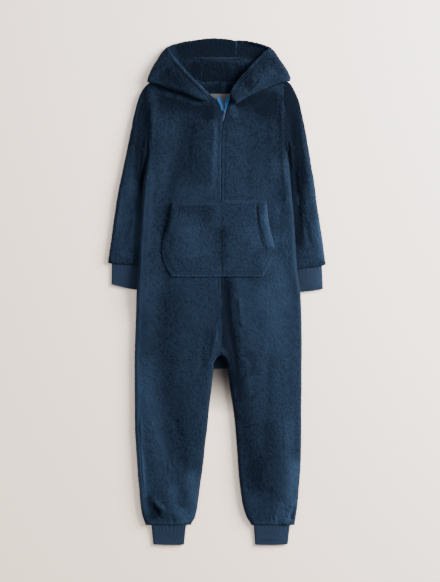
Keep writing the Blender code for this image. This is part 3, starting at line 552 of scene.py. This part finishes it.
def closings(nodeName, flatPlace):
    # how far the cloth moves at each place, in millimetres
    x, y = flatPlace.T
    kind = nodeName.split("_")[0]
    move = np.zeros((len(flatPlace), 3))
    if kind in ("front", "pocket"):
        closeOverZip(move, flatPlace)
        widenArch(move, flatPlace)
    if kind == "back":
        hangInArch(move, flatPlace)
        neck = closing["neck"]
        atNeck = ramp(y, *neck["edge"]) * ramp(np.abs(x - neck["middle"]), *neck["side"])
        move[:, 1] += neck["push"] * atNeck
    if kind != "hood":
        look = closing["shoulders"]
        caps = sum(s * bell(x - at, look["width"]) for s, at in zip(look["share"], look["x"]))
        move[:, 1] += look["rise"] * caps * ramp(y, *look["foot"])
    elif nodeName == "hood_centre":
        move[:, 1] -= closing["strip"]["push"] * ramp(y, *closing["strip"]["edge"])
    hem = closing["hem"]
    if kind == "sleeve":
        look = closing["underarm"]
        tucked = ramp(y, *look["foot"]) * ramp(y, *look["top"]) * ramp(np.abs(x), *look["side"])
        move[:, 0] -= look["tuck"] * np.sign(x) * tucked
        distance, _ = farFrom(flatPlace, closing["sleeveHems"][nodeName])
        move[:, 1] -= hem["reach"] * ramp(distance, hem["width"], 0)
    elif kind in ("front", "back"):
        move[:, 1] -= hem["reach"] * ramp(y, *hem["ankle"])
    return move


def pick(piece):
    bpy.ops.object.select_all(action="DESELECT")
    piece.select_set(True)
    bpy.context.view_layer.objects.active = piece


def copyOf(nodeName, name):
    # a copy of a solid, with its own mesh, alone selected
    piece = solids[nodeName].copy()
    piece.data = piece.data.copy()
    piece.name = name
    bpy.context.scene.collection.objects.link(piece)
    pick(piece)
    return piece


def treeOf(nodes):
    # one tree of the solids, to find what a ray meets
    corners, faces = [], []
    for node in nodes:
        first = len(corners)
        corners += [v.co.copy() for v in node.data.vertices]
        faces += [[first + i for i in p.vertices] for p in node.data.polygons]
    return BVHTree.FromPolygons(corners, faces)


# A face counts as seen if nothing of the garment lies between these distances straight out from it.
seenRange = (0.4, 30)
solidTree = treeOf(solids.values())


def isSeen(centre, normal):
    start = centre + normal * seenRange[0] * mm
    return solidTree.ray_cast(start, normal, seenRange[1] * mm)[0] is None


# Corners closer than merge become one, triangles that differ by less than the two angles pair up,
# and edges sharper than sharp stay as they are. Angles are in radians.
rounding = {"merge": 0.02, "faceAngle": 0.6, "shapeAngle": 1.2, "sharp": 1.0, "levels": 2}


def roundedCopy(nodeName, name):
    # a copy of the solid with its facets rounded off; the edges of its wall stay where they are
    piece = copyOf(nodeName, name)
    pairUp = {"face_threshold": rounding["faceAngle"], "shape_threshold": rounding["shapeAngle"]}
    bpy.ops.object.mode_set(mode="EDIT")
    bpy.ops.mesh.select_all(action="SELECT")
    bpy.ops.mesh.remove_doubles(threshold=rounding["merge"] * mm)
    bpy.ops.mesh.tris_convert_to_quads(**pairUp)
    bpy.ops.mesh.select_all(action="DESELECT")
    bpy.ops.mesh.select_mode(type="EDGE")
    bpy.ops.mesh.edges_select_sharp(sharpness=rounding["sharp"])
    bpy.ops.transform.edge_crease(value=1)
    bpy.ops.mesh.select_mode(type="VERT")
    bpy.ops.object.mode_set(mode="OBJECT")
    rounder = piece.modifiers.new("rounder", "SUBSURF")
    rounder.levels = rounder.render_levels = rounding["levels"]
    bpy.ops.object.modifier_apply(modifier="rounder")
    return piece


def refine(piece, cell, mostRounds=7):
    # divides what is seen until no edge is longer than the cell
    mesh = bmesh.new()
    mesh.from_mesh(piece.data)
    mesh.faces.ensure_lookup_table()
    seen = mesh.faces.layers.int.new("seen")
    for face in mesh.faces:
        face[seen] = isSeen(face.calc_center_median(), face.normal)
    bmesh.ops.triangulate(mesh, faces=mesh.faces)
    for _ in range(mostRounds):
        longOnes = []
        for edge in mesh.edges:
            if edge.calc_length() > cell * mm and any(face[seen] for face in edge.link_faces):
                longOnes.append(edge)
        if not longOnes:
            break
        bmesh.ops.subdivide_edges(mesh, edges=longOnes, cuts=1)
        bmesh.ops.triangulate(mesh, faces=[f for f in mesh.faces if len(f.verts) > 3])
    mesh.to_mesh(piece.data)
    mesh.free()
    piece.data.update()


def vertexValues(piece, name):
    flat = np.empty(len(piece.data.vertices) * 3)
    piece.data.vertices.foreach_get(name, flat)
    return flat.reshape(-1, 3)


def onGarment(points):
    # the points' x and y in the garment's own millimetres
    return (points[:, :2] - np.array(neckShift[:2])) / mm


# The fold that starts at the crotch's top is softer than the solid's facets there.
kink = {"x": 4.5, "y": 472, "tall": 22, "inner": 16, "outer": 62, "factor": 0.5, "repeat": 40}


def smoothKink(piece):
    pick(piece)
    bpy.ops.object.mode_set(mode="EDIT")
    bpy.ops.mesh.select_all(action="DESELECT")
    bpy.ops.object.mode_set(mode="OBJECT")
    x, y = onGarment(vertexValues(piece, "co")).T
    aside = np.abs(x - kink["x"])
    chosen = (np.abs(y - kink["y"]) < kink["tall"]) & (aside > kink["inner"])
    chosen &= aside < kink["outer"]
    piece.data.vertices.foreach_set("select", chosen)
    bpy.ops.object.mode_set(mode="EDIT")
    bpy.ops.mesh.select_mode(type="VERT")
    bpy.ops.mesh.vertices_smooth(factor=kink["factor"], repeat=kink["repeat"])
    bpy.ops.object.mode_set(mode="OBJECT")


def seenShare(piece):
    # 1 where all faces round a point are seen, 0 where none is
    seen = np.array([f.value for f in piece.data.attributes["seen"].data], float)
    total = np.zeros(len(piece.data.vertices))
    count = np.zeros(len(piece.data.vertices))
    corners = np.empty(len(piece.data.loops), int)
    piece.data.loops.foreach_get("vertex_index", corners)
    perFace = len(corners) // len(seen)
    np.add.at(total, corners, np.repeat(seen, perFace))
    np.add.at(count, corners, 1)
    return total / np.maximum(count, 1)


def curls(points):
    # rounded clumps of pile with dips between them, from 0 to 1
    look, size = pileLook, pileLook["curl"] * mm
    heights = np.empty(len(points))
    for i, point in enumerate(points):
        at = Vector(point)
        drift = noise.noise_vector(at / (size * look["curlBendReach"]))
        nearest = noise.voronoi((at + drift * size * look["curlBend"]) / size)[0][0]
        heights[i] = 1 - min(nearest * look["curlSpread"], 1) ** look["curlRound"]
    return heights


def tufts(points, size):
    return np.array([noise.noise(Vector(point) / (size * mm)) for point in points])


def finishCloth(piece, nodeName, points, attributes, material):
    # sets the moved points and the attributes, hides the solid the piece stands for, hangs the
    # piece on the garment and says its triangles
    points[:, 2] = np.maximum(points[:, 2], 0)
    piece.data.vertices.foreach_set("co", points.ravel())
    for name, values in attributes.items():
        layer = piece.data.attributes.new(name, "FLOAT", "POINT")
        layer.data.foreach_set("value", np.ascontiguousarray(values, dtype=np.float32))
    piece.data.attributes.remove(piece.data.attributes["seen"])
    piece.data.materials.clear()
    piece.data.materials.append(material)
    piece.data.shade_smooth()
    piece.data.update()
    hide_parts(nodeName)
    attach(piece, "garment")
    say(f"{piece.name}: {len(piece.data.polygons)} triangles")


def makePlush(nodeName, look):
    piece = roundedCopy(nodeName, "plush_" + nodeName)
    refine(piece, look["cell"])
    if nodeName.startswith("front"):
        smoothKink(piece)
    points, normals = (vertexValues(piece, name) for name in ("co", "normal"))
    flatPlace, upright, seen = onGarment(points), normals[:, 2], seenShare(piece)
    outside = -1 if nodeName.startswith("back") else 1
    rising = outside * ramp(outside * upright, *facing["crease"]) * seen
    points[:, 2] += creaseHeights(flatPlace, look["creases"]) * rising * mm
    pressed = seamDepths(flatPlace, normals, look["seams"])
    clump = curls(points)
    small = tufts(points, pileLook["tuft"])
    slow = tufts(points, pileLook["swellReach"])
    height = (clump - pileLook["curlMiddle"]) * pileLook["curlHeight"]
    height += small * pileLook["tuftHeight"]
    height *= 1 - pileLook["seamFlat"] * np.clip(pressed, 0, 1)
    height = (height + slow * pileLook["swell"] - pressed * pileLook["seamDip"]) * seen
    height += pileLook["seamClose"] * (1 - seen) * ramp(np.abs(upright), *facing["wall"])
    points += normals * (height * mm)[:, None] + closings(nodeName, flatPlace) * mm
    # darker where the clumps are low and where the seams press: painted shade; the tufts vary at
    # random
    pale = clump * (1 - pileLook["seamPaintedShade"] * pressed) + small * pileLook["tuftPale"]
    attributes = {
        "napAndPaintedLight": napAndPaintedLightTone(flatPlace, normals, look["napAndPaintedLight"]),
        "pile": np.clip(pale, 0, 1),
    }
    finishCloth(piece, nodeName, points, attributes, plush)


# Each kind of plush piece, in the garment's millimetres.
# cuts: the width, length and area that each piece is cut to, in metres
# cell: the longest edge of the mesh
# creases: how wide each is to either side, how far it rises or (below 0) sinks, and its line
# nap: strokes of painted light and shade, partly the lie of the nap: how wide each stroke is to
# either side, how much lighter or (below 0) darker it is, its line, and for a row of beads their
# pitch
# seams: how wide each stitched line is to either side, its depth, and its line
frontPlush = {
    "cuts": {"front_left": (0.235, 1.13, 0.21), "front_right": (0.225, 1.13, 0.19)},
    "cell": 3.4,
    "creases": [
        (17, -1.8, ((-97, 992), (-118, 935), (-137, 850), (-139, 795), (-135, 735))),
        (12, 1.4, ((-180, 1040), (-176, 900), (-178, 760), (-174, 640))),
        (8, 2.4, ((-8, 1075), (-15, 950), (-12, 880))),
        (8, 3.2, ((40, 660), (48, 615), (55, 567), (62, 522), (66, 460), (65, 412), (62, 350))),
        (9, -3.0, ((17, 650), (21, 580), (28, 530), (37, 480), (48, 410))),
        (7, 3.2, ((2, 560), (-8, 522), (-16, 487), (-20, 462), (-25, 412))),
        (10, -2.4, ((-34, 545), (-42, 490), (-44, 430))),
        (10, 2.6, ((-172, 362), (-152, 287), (-127, 225), (-117, 137))),
        (12, -3.0, ((-117, 337), (-97, 262), (-87, 175))),
        (6, 1.8, ((-196, 330), (-194, 230), (-188, 130))),
        (18, 0.9, ((160, 612), (172, 400), (162, 120))),
        (14, -2.2, ((128, 560), (120, 380), (112, 200))),
        (6, 3.0, ((-172, 122), (-152, 98), (-132, 84))),
        (5, -2.8, ((-175, 112), (-158, 84), (-142, 62))),
        (6, 2.8, ((194, 116), (178, 84), (163, 52))),
        (5, -2.6, ((186, 98), (178, 60))),
        (3.5, -1.6, ((133, 76), (136, 52))),
        (3.5, -1.8, ((146, 80), (147, 52))),
        (4, -1.6, ((-118, 78), (-114, 52))),
        (18, -1.6, ((60, 1060), (70, 960), (66, 880))),
        (12, 1.8, ((128, 1090), (134, 1000), (128, 900))),
        (22, 0.7, ((-60, 1085), (-70, 1010), (-62, 930))),
        (9, 1.8, ((170, 880), (160, 800), (166, 700))),
        (5, 1.6, ((128, 1130), (156, 1100), (158, 980), (166, 880))),
        (6, 1.6, ((-150, 1130), (-166, 1090), (-168, 980))),
    ],
    # painted light and shade over the fronts, partly the lie of the nap
    "napAndPaintedLight": [
        (15, -0.3, ((-168, 1080), (-154, 930), (-158, 790), (-172, 637))),
        (26, -0.45, ((-160, 1115), (-100, 1105), (-30, 1095))),
        (28, -0.65, ((100, 1110), (150, 1070), (156, 950))),
        (12, -0.5, ((125, 1118), (165, 1112))),
        (8, -0.7, ((168, 1070), (171, 980))),
        (12, 1.1, ((-201, 240), (-192, 150), (-180, 70))),
        (16, -0.5, ((76, 490), (84, 420))),
        (11, 1.5, ((-207, 660), (-207, 430), (-202, 250), (-190, 80))),
        (22, 0.35, ((-176, 480), (-160, 320), (-150, 200))),
        (15, 1.0, ((-72, 190), (-64, 120), (-70, 56))),
        (14, 1.3, ((-98, 92), (-80, 52))),
        (13, -0.8, ((-26, 1100), (-26, 1060))),
        (14, 0.9, ((-120, 150), (-104, 80))),
        (14, 1.3, ((192, 220), (184, 130), (172, 52))),
        (12, 1.1, ((158, 110), (148, 54))),
        (22, 0.9, ((150, 790), (166, 690), (172, 580))),
        (11, -0.9, ((13, 600), (14, 540), (20, 486))),
        (12, 0.7, ((152, 860), (152, 750))),
        (10, 0.8, ((30, 1104), (44, 1066))),
        (34, -0.4, ((-62, 1070), (-64, 970), (-58, 890))),
        (7, 0.7, ((-40, 1098), (-80, 1112), (-140, 1130))),
        (8, -0.7, ((40, 1098), (80, 1112), (120, 1128))),
        (7, 0.7, ((-12, 1072), (-15, 950), (-20, 872))),
        (5, 0.25, ((162, 1110), (165, 980), (178, 800), (186, 680))),
        (17, -0.35, ((-104, 950), (-126, 880), (-141, 790), (-141, 730), (-134, 640))),
        (26, -0.5, ((-134, 660), (-138, 540), (-132, 430), (-116, 320), (-94, 180))),
        (34, 0.4, ((-72, 800), (-62, 715))),
        (22, 0.5, ((100, 700), (132, 705), (160, 640))),
        (29, 0.5, ((112, 660), (140, 570), (138, 470))),
        (26, 0.4, ((122, 640), (142, 540), (146, 400), (160, 250))),
        (13, -1.2, ((17, 680), (20, 590), (26, 530), (36, 470), (46, 400))),
        (24, -0.7, ((42, 440), (58, 350), (74, 240), (94, 120))),
        (26, -0.35, ((120, 320), (112, 220), (118, 110))),
        (17, 0.5, ((178, 330), (172, 190), (164, 100))),
        (17, 0.55, ((-192, 440), (-174, 330), (-142, 210), (-112, 110))),
        (11, 0.35, ((-62, 190), (-62, 100))),
        (13, -1.0, ((-182, 124), (-168, 98), (-152, 66))),
        (5, 0.6, ((-166, 122), (-148, 102), (-128, 84))),
        (6, -0.7, ((188, 104), (181, 62))),
        (5, 0.7, ((194, 116), (177, 78), (165, 52))),
        (3.2, 0.45, ((6, 620), (5.5, 650), (5, 900), (6, 1000), (8.5, 1060))),
        (4.5, 0.7, ((-188, 56), (-130, 54), (-70, 56))),
        (4.5, 0.7, ((80, 56), (135, 54), (192, 56))),
        (7, -1.0, ((-180, 1150), (-175, 1060), (-180, 975))),
        (42, -0.55, ((-170, 1120), (0, 1085), (160, 1120))),
        (50, -0.12, ((-150, 1010), (-40, 1000), (60, 1010), (150, 1000))),
    ],
    "seams": [
        (1.6, 0.8, ((-4, 640), (-4.5, 900), (-3.5, 1000), (-1, 1050), (3, 1080), (-5, 1100))),
        (1.6, 0.8, ((15, 640), (14.5, 900), (15.5, 1000), (18, 1050), (22, 1080), (26, 1100))),
    ],
}
pocketPlush = {
    "cuts": {"pocket_left": (0.15, 0.185, 0.024), "pocket_right": (0.14, 0.19, 0.022)},
    "cell": 2.6,
    "creases": frontPlush["creases"],
    # the fronts' strokes, and more round the pocket: painted highlights along its edges and mouth
    # band, painted shade beside them
    "napAndPaintedLight": frontPlush["napAndPaintedLight"] + [
        (22, -0.45, ((-112, 846), (-50, 836), (-12, 822))),
        (14, -0.6, ((8, 800), (8, 690))),
        (22, 0.5, ((78, 800), (104, 735))),
        (4, 0.3, ((-117, 852), (0, 852))),
        (4, 0.4, ((6, 858), (118, 858))),
        (3.5, 0.75, ((-140, 715), (-119, 673), (0, 671), (109, 671), (128, 702), (145, 735)), 9),
        (5, 1.3, ((118, 860), (120, 810), (131, 765), (146, 738)), 11),
        (9, 0.9, ((111, 835), (114, 805), (124, 765), (135, 740))),
        (3, -0.9, ((94, 855), (98, 805), (109, 755), (119, 735))),
        (3, 0.5, ((90, 850), (93, 800), (102, 755)), 13),
    ],
    "seams": [
        (1.7, 1, ((0, 674.5), (-117, 674.5), (-131, 703), (-142, 728))),
        (1.7, 1, ((0, 681.5), (-113, 681.5), (-125, 706), (-136, 730))),
        (2.0, 1, ((-126, 747), (-118, 772), (-108, 801), (-102, 829), (-98, 853))),
        (1.6, 1, ((-113, 850), (0, 850))),
        (1.6, 0.8, ((-113, 843.5), (0, 843.5))),
        (1.7, 1, ((10, 674.5), (107, 674.5), (124, 704), (141, 734))),
        (1.7, 1, ((10, 681.5), (103, 681.5), (118, 708), (134, 736))),
        (2.0, 1, ((118, 738), (108, 774), (98, 811), (95, 836), (94, 857))),
        (1.6, 1, ((10, 855), (116, 855))),
        (1.6, 0.8, ((10, 848.5), (115, 848.5))),
    ],
}
backPlush = {
    "cuts": {"back_left": (0.235, 1.13, 0.21), "back_right": (0.225, 1.13, 0.19)},
    "cell": 6,
    "creases": [
        (12, -1.2, ((-150, 900), (-60, 860), (40, 872))),
        (12, -1.2, ((-70, 470), (-90, 380), (-86, 260))),
        (12, -1.2, ((75, 480), (96, 370), (90, 240))),
    ],
    # painted shade: the back of the neck under the hood, and near black in the crotch's arch
    "napAndPaintedLight": [
        (16, -0.9, ((-60, 1136), (0, 1142), (70, 1138))),
        (26, -2.6, ((-13, 440), (-8, 458), (4.5, 472), (16.5, 458), (21.5, 440))),
    ],
    "seams": [],
}
sleevePlush = {
    "cuts": {"sleeve_left": (0.2, 0.45, 0.062), "sleeve_right": (0.2, 0.46, 0.062)},
    "cell": 3.2,
    "creases": [
        (10, -3.2, ((-188, 1115), (-190, 1010), (-196, 890))),
        (8, -1.5, ((-195, 900), (-199, 820), (-203, 745))),
        (8, 2.0, ((-204, 1080), (-220, 960), (-236, 840))),
        (6, 1.2, ((-222, 1010), (-244, 880), (-262, 760))),
        (8, -2.0, ((-205, 880), (-222, 810), (-246, 740))),
        (6, 1.4, ((-262, 735), (-240, 722), (-215, 716))),
        (10, -3.4, ((176, 1105), (184, 1010), (196, 900), (203, 760))),
        (8, 2.4, ((198, 1080), (214, 980), (230, 850))),
        (7, 1.4, ((214, 1000), (236, 880), (252, 760))),
        (8, -2.0, ((196, 900), (212, 820), (232, 730))),
        (6, 1.2, ((200, 716), (224, 722), (252, 730))),
    ],
    # painted shade along the armholes, painted light on the sleeves' outer parts
    "napAndPaintedLight": [
        (9, -1.0, ((-182, 1160), (-188, 1000), (-196, 880))),
        (15, -1.1, ((-186, 1110), (-196, 1030), (-200, 900))),
        (14, 0.7, ((-204, 840), (-206, 740))),
        (14, 0.25, ((-238, 900), (-258, 760))),
        (12, -1.6, ((172, 1160), (184, 1000), (196, 870), (203, 735))),
        (16, -1.2, ((182, 1156), (188, 1080), (196, 1000), (206, 880))),
        (10, 0.6, ((228, 930), (242, 850), (250, 745))),
        (13, 1.2, ((250, 820), (262, 705))),
    ],
    "seams": [],
}
hoodPlush = {
    "cuts": {
        "hood_left": (0.2, 0.25, 0.03),
        "hood_right": (0.2, 0.25, 0.03),
        "hood_centre": (0.13, 0.12, 0.012),
    },
    "cell": 2.6,
    "creases": [
        (4, -2.2, ((-72, 1220), (-20, 1221), (58, 1219))),
        (5, 1.4, ((-80, 1210), (-20, 1211), (66, 1209))),
        (5, -2.4, ((102, 1165), (87, 1147), (65, 1127))),
        (5, 1.6, ((110, 1176), (96, 1152), (76, 1128))),
        (9, 1.4, ((-60, 1150), (-90, 1170), (-112, 1200))),
        (10, -1.6, ((-96, 1140), (-126, 1166), (-140, 1196))),
        (10, -1.4, ((120, 1215), (140, 1190), (150, 1165))),
    ],
    # painted shade in the hood's hollows and under its edges, painted highlights along its seams
    # and front edges
    "napAndPaintedLight": [
        (15, -2.0, ((-110, 1236), (-20, 1239), (60, 1238), (112, 1234))),
        (8, -0.6, ((-80, 1256), (0, 1262), (60, 1258))),
        (5, 0.35, ((-90, 1211), (-20, 1212), (62, 1210), (100, 1214))),
        (8, -0.6, ((-50, 1170), (20, 1160), (60, 1160))),
        (4, -1.2, ((-70, 1217), (-10, 1219), (60, 1216))),
        (60, -0.55, ((-170, 1170), (-60, 1190), (60, 1190), (170, 1170))),
        (2.4, 2.1, ((43, 1226), (43.6, 1266))),
        (2, 1.2, ((61, 1168), (61, 1206))),
        (2, 0.8, ((-43.5, 1168), (-43.5, 1206))),
        (2.2, 0.7, ((-69, 1226), (-70.5, 1266))),
        (20, -0.55, ((-74, 1192), (-20, 1188), (34, 1184))),
        (14, -0.8, ((52, 1200), (60, 1180), (58, 1162))),
        (12, -0.9, ((-72, 1238), (-30, 1246))),
        (10, -0.9, ((60, 1238), (104, 1230))),
        (3.5, 1.3, ((-22, 1124), (-51, 1151), (-83, 1183), (-107, 1211), (-130, 1240))),
        (3, -0.5, ((-36, 1122), (-62, 1148), (-92, 1180), (-116, 1206))),
        (18, -0.5, ((-70, 1128), (-110, 1150), (-145, 1180))),
        (3.5, 0.6, ((28, 1131), (57, 1171), (84, 1201), (113, 1231))),
        (16, 0.5, ((92, 1148), (115, 1165), (140, 1190))),
        (12, -0.7, ((62, 1150), (84, 1150))),
        (4, 0.8, ((40, 1098), (66, 1113), (97, 1129), (150, 1153))),
        (4, 0.3, ((-45, 1106), (-80, 1122), (-140, 1143))),
    ],
    "seams": [
        (1.8, 1, ((-30, 1117), (-58, 1144), (-81, 1165), (-98, 1184), (-113, 1202), (-124, 1219))),
        (1.8, 1, ((36, 1127), (55, 1153), (73, 1174), (91, 1195), (107, 1211), (118, 1224))),
    ],
}

for look in (frontPlush, backPlush, sleevePlush, hoodPlush, pocketPlush):
    for nodeName in look["cuts"]:
        makePlush(nodeName, look)


# Cuffs: doubled rib knit, gathered a little at the seam where it holds the plush in
cuffLook = {
    "cell": 2.8,
    "pucker": 0.5,
    "puckerPitch": 9.5,
    "puckerReach": 13,
    "waver": 0.8,
    "waverReach": 20,
    "swell": 0.35,
    "swellReach": 16,
    "seamDip": 0.5,
    "seamWidth": 2,
    # painted light and shade on the cuffs
    "napAndPaintedLight": [
        (16, -2.2, ((200, 634), (204, 690))),
        (9, -1.0, ((214, 636), (236, 642))),
        (11, 1.5, ((256, 695), (254, 645))),
        (14, 1.6, ((160, 48), (162, 10))),
        (18, -0.8, ((120, 16), (120, 6))),
    ],
}
# The knit each cuff is cut from, doubled, in metres, and its seam in the garment's millimetres
cuffCuts = {
    "ankle_cuff_left": {
        "flat": (0.175, 0.052),
        "area": 0.0088,
        "seam": ((-169.5, 51), (-82, 51)),
    },
    "ankle_cuff_right": {
        "flat": (0.183, 0.052),
        "area": 0.0092,
        "seam": ((86.5, 51), (178, 51)),
    },
    "wrist_cuff_left": {
        "flat": (0.14, 0.06),
        "area": 0.0082,
        "seam": ((-268.5, 705.5), (-199, 699.5)),
    },
    "wrist_cuff_right": {
        "flat": (0.14, 0.058),
        "area": 0.008,
        "seam": ((190, 688.9), (258, 699.2)),
    },
}


def makeCuff(nodeName, cut):
    look = cuffLook
    piece = roundedCopy(nodeName, "knit_" + nodeName)
    refine(piece, look["cell"])
    points, normals = (vertexValues(piece, name) for name in ("co", "normal"))
    flatPlace, seen = onGarment(points), seenShare(piece)
    fromSeam, _ = farFrom(flatPlace, cut["seam"])
    waver = look["waver"] * tufts(points, look["waverReach"])
    wave = np.sin(flatPlace[:, 0] * math.tau / look["puckerPitch"] + waver)
    height = wave * look["pucker"] * bell(fromSeam, look["puckerReach"])
    height += tufts(points, look["swellReach"]) * look["swell"]
    height -= look["seamDip"] * bell(fromSeam, look["seamWidth"])
    points += normals * (height * seen * np.abs(normals[:, 2]) * mm)[:, None]
    attributes = {"napAndPaintedLight": napAndPaintedLightTone(flatPlace, normals, look["napAndPaintedLight"])}
    finishCloth(piece, nodeName, points, attributes, cuffKnit)


for nodeName, cut in cuffCuts.items():
    makeCuff(nodeName, cut)


# The zip. Its line runs up the front; above the slider the two rows of teeth part with the tapes.
zipPlan = {
    "closed": ((5.5, 643), (5, 900), (6, 1000), (8.5, 1050), (12.3, 1075)),
    "openLeft": ((11.8, 1089), (9.8, 1098), (7, 1110), (4.2, 1118)),
    "openRight": ((14.2, 1089), (15.4, 1098), (16.2, 1110), (16.7, 1118)),
    "pitch": 2.7,
    "offset": 0.95,  # of a closed row from the zip's line
    "clearOfTape": 0.25,
    "tapeReach": 4,  # how far out from the teeth the tape's height is taken
}
toothLook = {
    "size": (2.5, 1.35, 1.5),
    "head": 0.5,
    "headNarrow": (1, 0.6, 0.7),
    "bevel": 0.16,
}
aboveAll = 200  # a height from which a ray down meets each node's upper side
nodeTrees = {
    name: treeOf([solids[name]])
    for name in ("zip_tape_left", "zip_tape_right", "pocket_left", "pocket_right")
}


def topOf(nodeName, x, y):
    # the height of the node's upper side at a place in millimetres, or None beside the node
    hit = nodeTrees[nodeName].ray_cast(place(x, y, aboveAll), Vector((0, 0, -1)))[0]
    return None if hit is None else hit.z / mm


def alongLine(line, pitch):
    # a place and the direction there, one every pitch along a line of corners
    corners, steps, lengths, gone = cornersOf(line)
    for at in np.arange(pitch / 2, gone[-1], pitch):
        i = min(np.searchsorted(gone, at, side="right") - 1, len(steps) - 1)
        yield corners[i] + steps[i] * (at - gone[i]) / lengths[i], steps[i] / lengths[i]


def turnTo(way):
    # how far to turn what points up the garment, so that it points this way
    return math.atan2(way[1], way[0]) - math.pi / 2


def laidOut(pattern, spots, name, material):
    # one piece made of copies of the pattern, each at its place and turned by its angle
    copies = []
    for at, angle in spots:
        one = pattern.copy()
        one.data = pattern.data.copy()
        one.rotation_euler.z = angle
        one.location = at
        bpy.context.scene.collection.objects.link(one)
        copies.append(one)
    bpy.data.objects.remove(pattern)
    bpy.ops.object.select_all(action="DESELECT")
    for one in copies:
        one.select_set(True)
    bpy.context.view_layer.objects.active = copies[0]
    bpy.ops.object.join()
    piece = bpy.context.object
    piece.name = name
    bpy.ops.object.transform_apply(location=True, rotation=True, scale=True)
    piece.data.materials.clear()
    piece.data.materials.append(material)
    return piece


def makeTooth():
    # one moulded tooth: a block that narrows to a rounded head
    bpy.ops.object.select_all(action="DESELECT")
    bpy.ops.mesh.primitive_cube_add(size=1, location=(0, 0, 0))
    tooth = bpy.context.object
    tooth.scale = Vector(toothLook["size"]) * mm
    bpy.ops.object.transform_apply(location=True, rotation=True, scale=True)
    bpy.ops.object.mode_set(mode="EDIT")
    bpy.ops.mesh.select_all(action="DESELECT")
    bpy.ops.object.mode_set(mode="OBJECT")
    for face in tooth.data.polygons:
        face.select = face.normal.x > 0.9
    bpy.ops.object.mode_set(mode="EDIT")
    bpy.ops.mesh.select_mode(type="FACE")
    out = {"value": (toothLook["head"] * mm, 0, 0)}
    bpy.ops.mesh.extrude_region_move(TRANSFORM_OT_translate=out)
    bpy.ops.transform.resize(value=toothLook["headNarrow"], center_override=(0, 0, 0))
    bpy.ops.mesh.select_all(action="SELECT")
    bpy.ops.mesh.bevel(offset=toothLook["bevel"] * mm, segments=1)
    bpy.ops.object.mode_set(mode="OBJECT")
    return tooth


def makeTeeth():
    # each row's line, the side its teeth point to, how far it stands aside and its shift in pitches
    offset, pitch = zipPlan["offset"], zipPlan["pitch"]
    rows = [
        ("closed", 1, offset, 0),
        ("closed", -1, -offset, 0.5),
        ("openLeft", 1, 0, 0),
        ("openRight", -1, 0, 0.5),
    ]
    middle = zipPlan["clearOfTape"] + toothLook["size"][2] / 2
    spots = []
    for lineName, headWay, aside, shift in rows:
        tape = "zip_tape_left" if headWay > 0 else "zip_tape_right"
        for spot, way in alongLine(zipPlan[lineName], pitch):
            spot = spot + way * shift * pitch
            base = topOf(tape, spot[0] - zipPlan["tapeReach"] * headWay, spot[1])
            centre = spot - np.array([way[1], -way[0]]) * aside
            turn = turnTo(way) + (math.pi if headWay < 0 else 0)
            spots.append((place(*centre, base + middle), turn))
    teeth = laidOut(makeTooth(), spots, "zipTeeth", zipMoulded)
    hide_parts("zip_chain")
    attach(teeth, "garment")
    say(f"zip: {len(spots)} teeth")


makeTeeth()


# The slider, the pull, the tapes and the label keep their solids' forms, with softened edges.
softening = {"merge": 0.01, "flatAngle": 0.02, "bevelSegments": 2, "smoothAngle": 0.7}


def finishedCopy(nodeName, name, material, body="garment", bevel=0.0):
    piece = copyOf(nodeName, name)
    bpy.ops.object.mode_set(mode="EDIT")
    bpy.ops.mesh.select_all(action="SELECT")
    bpy.ops.mesh.remove_doubles(threshold=softening["merge"] * mm)
    bpy.ops.mesh.dissolve_limited(angle_limit=softening["flatAngle"])
    bpy.ops.object.mode_set(mode="OBJECT")
    if bevel:
        soft = piece.modifiers.new("soft", "BEVEL")
        soft.width = bevel * mm
        soft.segments = softening["bevelSegments"]
        soft.limit_method = "ANGLE"
        bpy.ops.object.modifier_apply(modifier="soft")
    piece.data.materials.clear()
    piece.data.materials.append(material)
    bpy.ops.object.shade_smooth_by_angle(angle=softening["smoothAngle"])
    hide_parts(nodeName)
    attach(piece, body)
    return piece


finishedCopy("zip_slider", "zipSlider", zipMoulded, bevel=0.35)
finishedCopy("zip_pull", "zipPullTab", zipMoulded, body="pull", bevel=0.15)
for side in ("left", "right"):
    tape = finishedCopy("zip_tape_" + side, f"zipTape{side.title()}", zipTape)
label = finishedCopy("neck_label", "neckLabel", labelTape, bevel=0.2)
say("slider, pull, tapes and label ready")


# Sewing thread: short stitches that lie in the pressed lines of the pocket
stitchLook = {
    "long": 3.0,
    "pitch": 4.2,
    "thick": 0.6,
    "sides": 6,
    "bevel": 0.15,
    "sunk": 0.25,
    "middle": 5,  # where the pocket's two halves meet
}


def makeStitch():
    # one stitch, which points up the garment
    thick, long = stitchLook["thick"] * mm, stitchLook["long"] * mm
    bpy.ops.object.select_all(action="DESELECT")
    bpy.ops.mesh.primitive_cylinder_add(vertices=stitchLook["sides"], radius=thick / 2, depth=long)
    stitch = bpy.context.object
    stitch.rotation_euler.x = math.pi / 2
    bpy.ops.object.transform_apply(location=True, rotation=True, scale=True)
    bpy.ops.object.mode_set(mode="EDIT")
    bpy.ops.mesh.select_all(action="SELECT")
    bpy.ops.mesh.bevel(offset=stitchLook["bevel"] * mm, segments=1)
    bpy.ops.object.mode_set(mode="OBJECT")
    return stitch


def makeStitches():
    depth = pileLook["seamDip"] + stitchLook["sunk"] - stitchLook["thick"] / 2
    spots = []
    for _, _, line in pocketPlush["seams"]:
        for spot, way in alongLine(line, stitchLook["pitch"]):
            side = "left" if spot[0] < stitchLook["middle"] else "right"
            top = topOf("pocket_" + side, *spot)
            if top is not None:
                spots.append((place(*spot, top - depth), turnTo(way)))
    stitches = laidOut(makeStitch(), spots, "pocketStitches", threadFinish)
    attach(stitches, "garment")
    say(f"pocket: {len(spots)} stitches")


makeStitches()
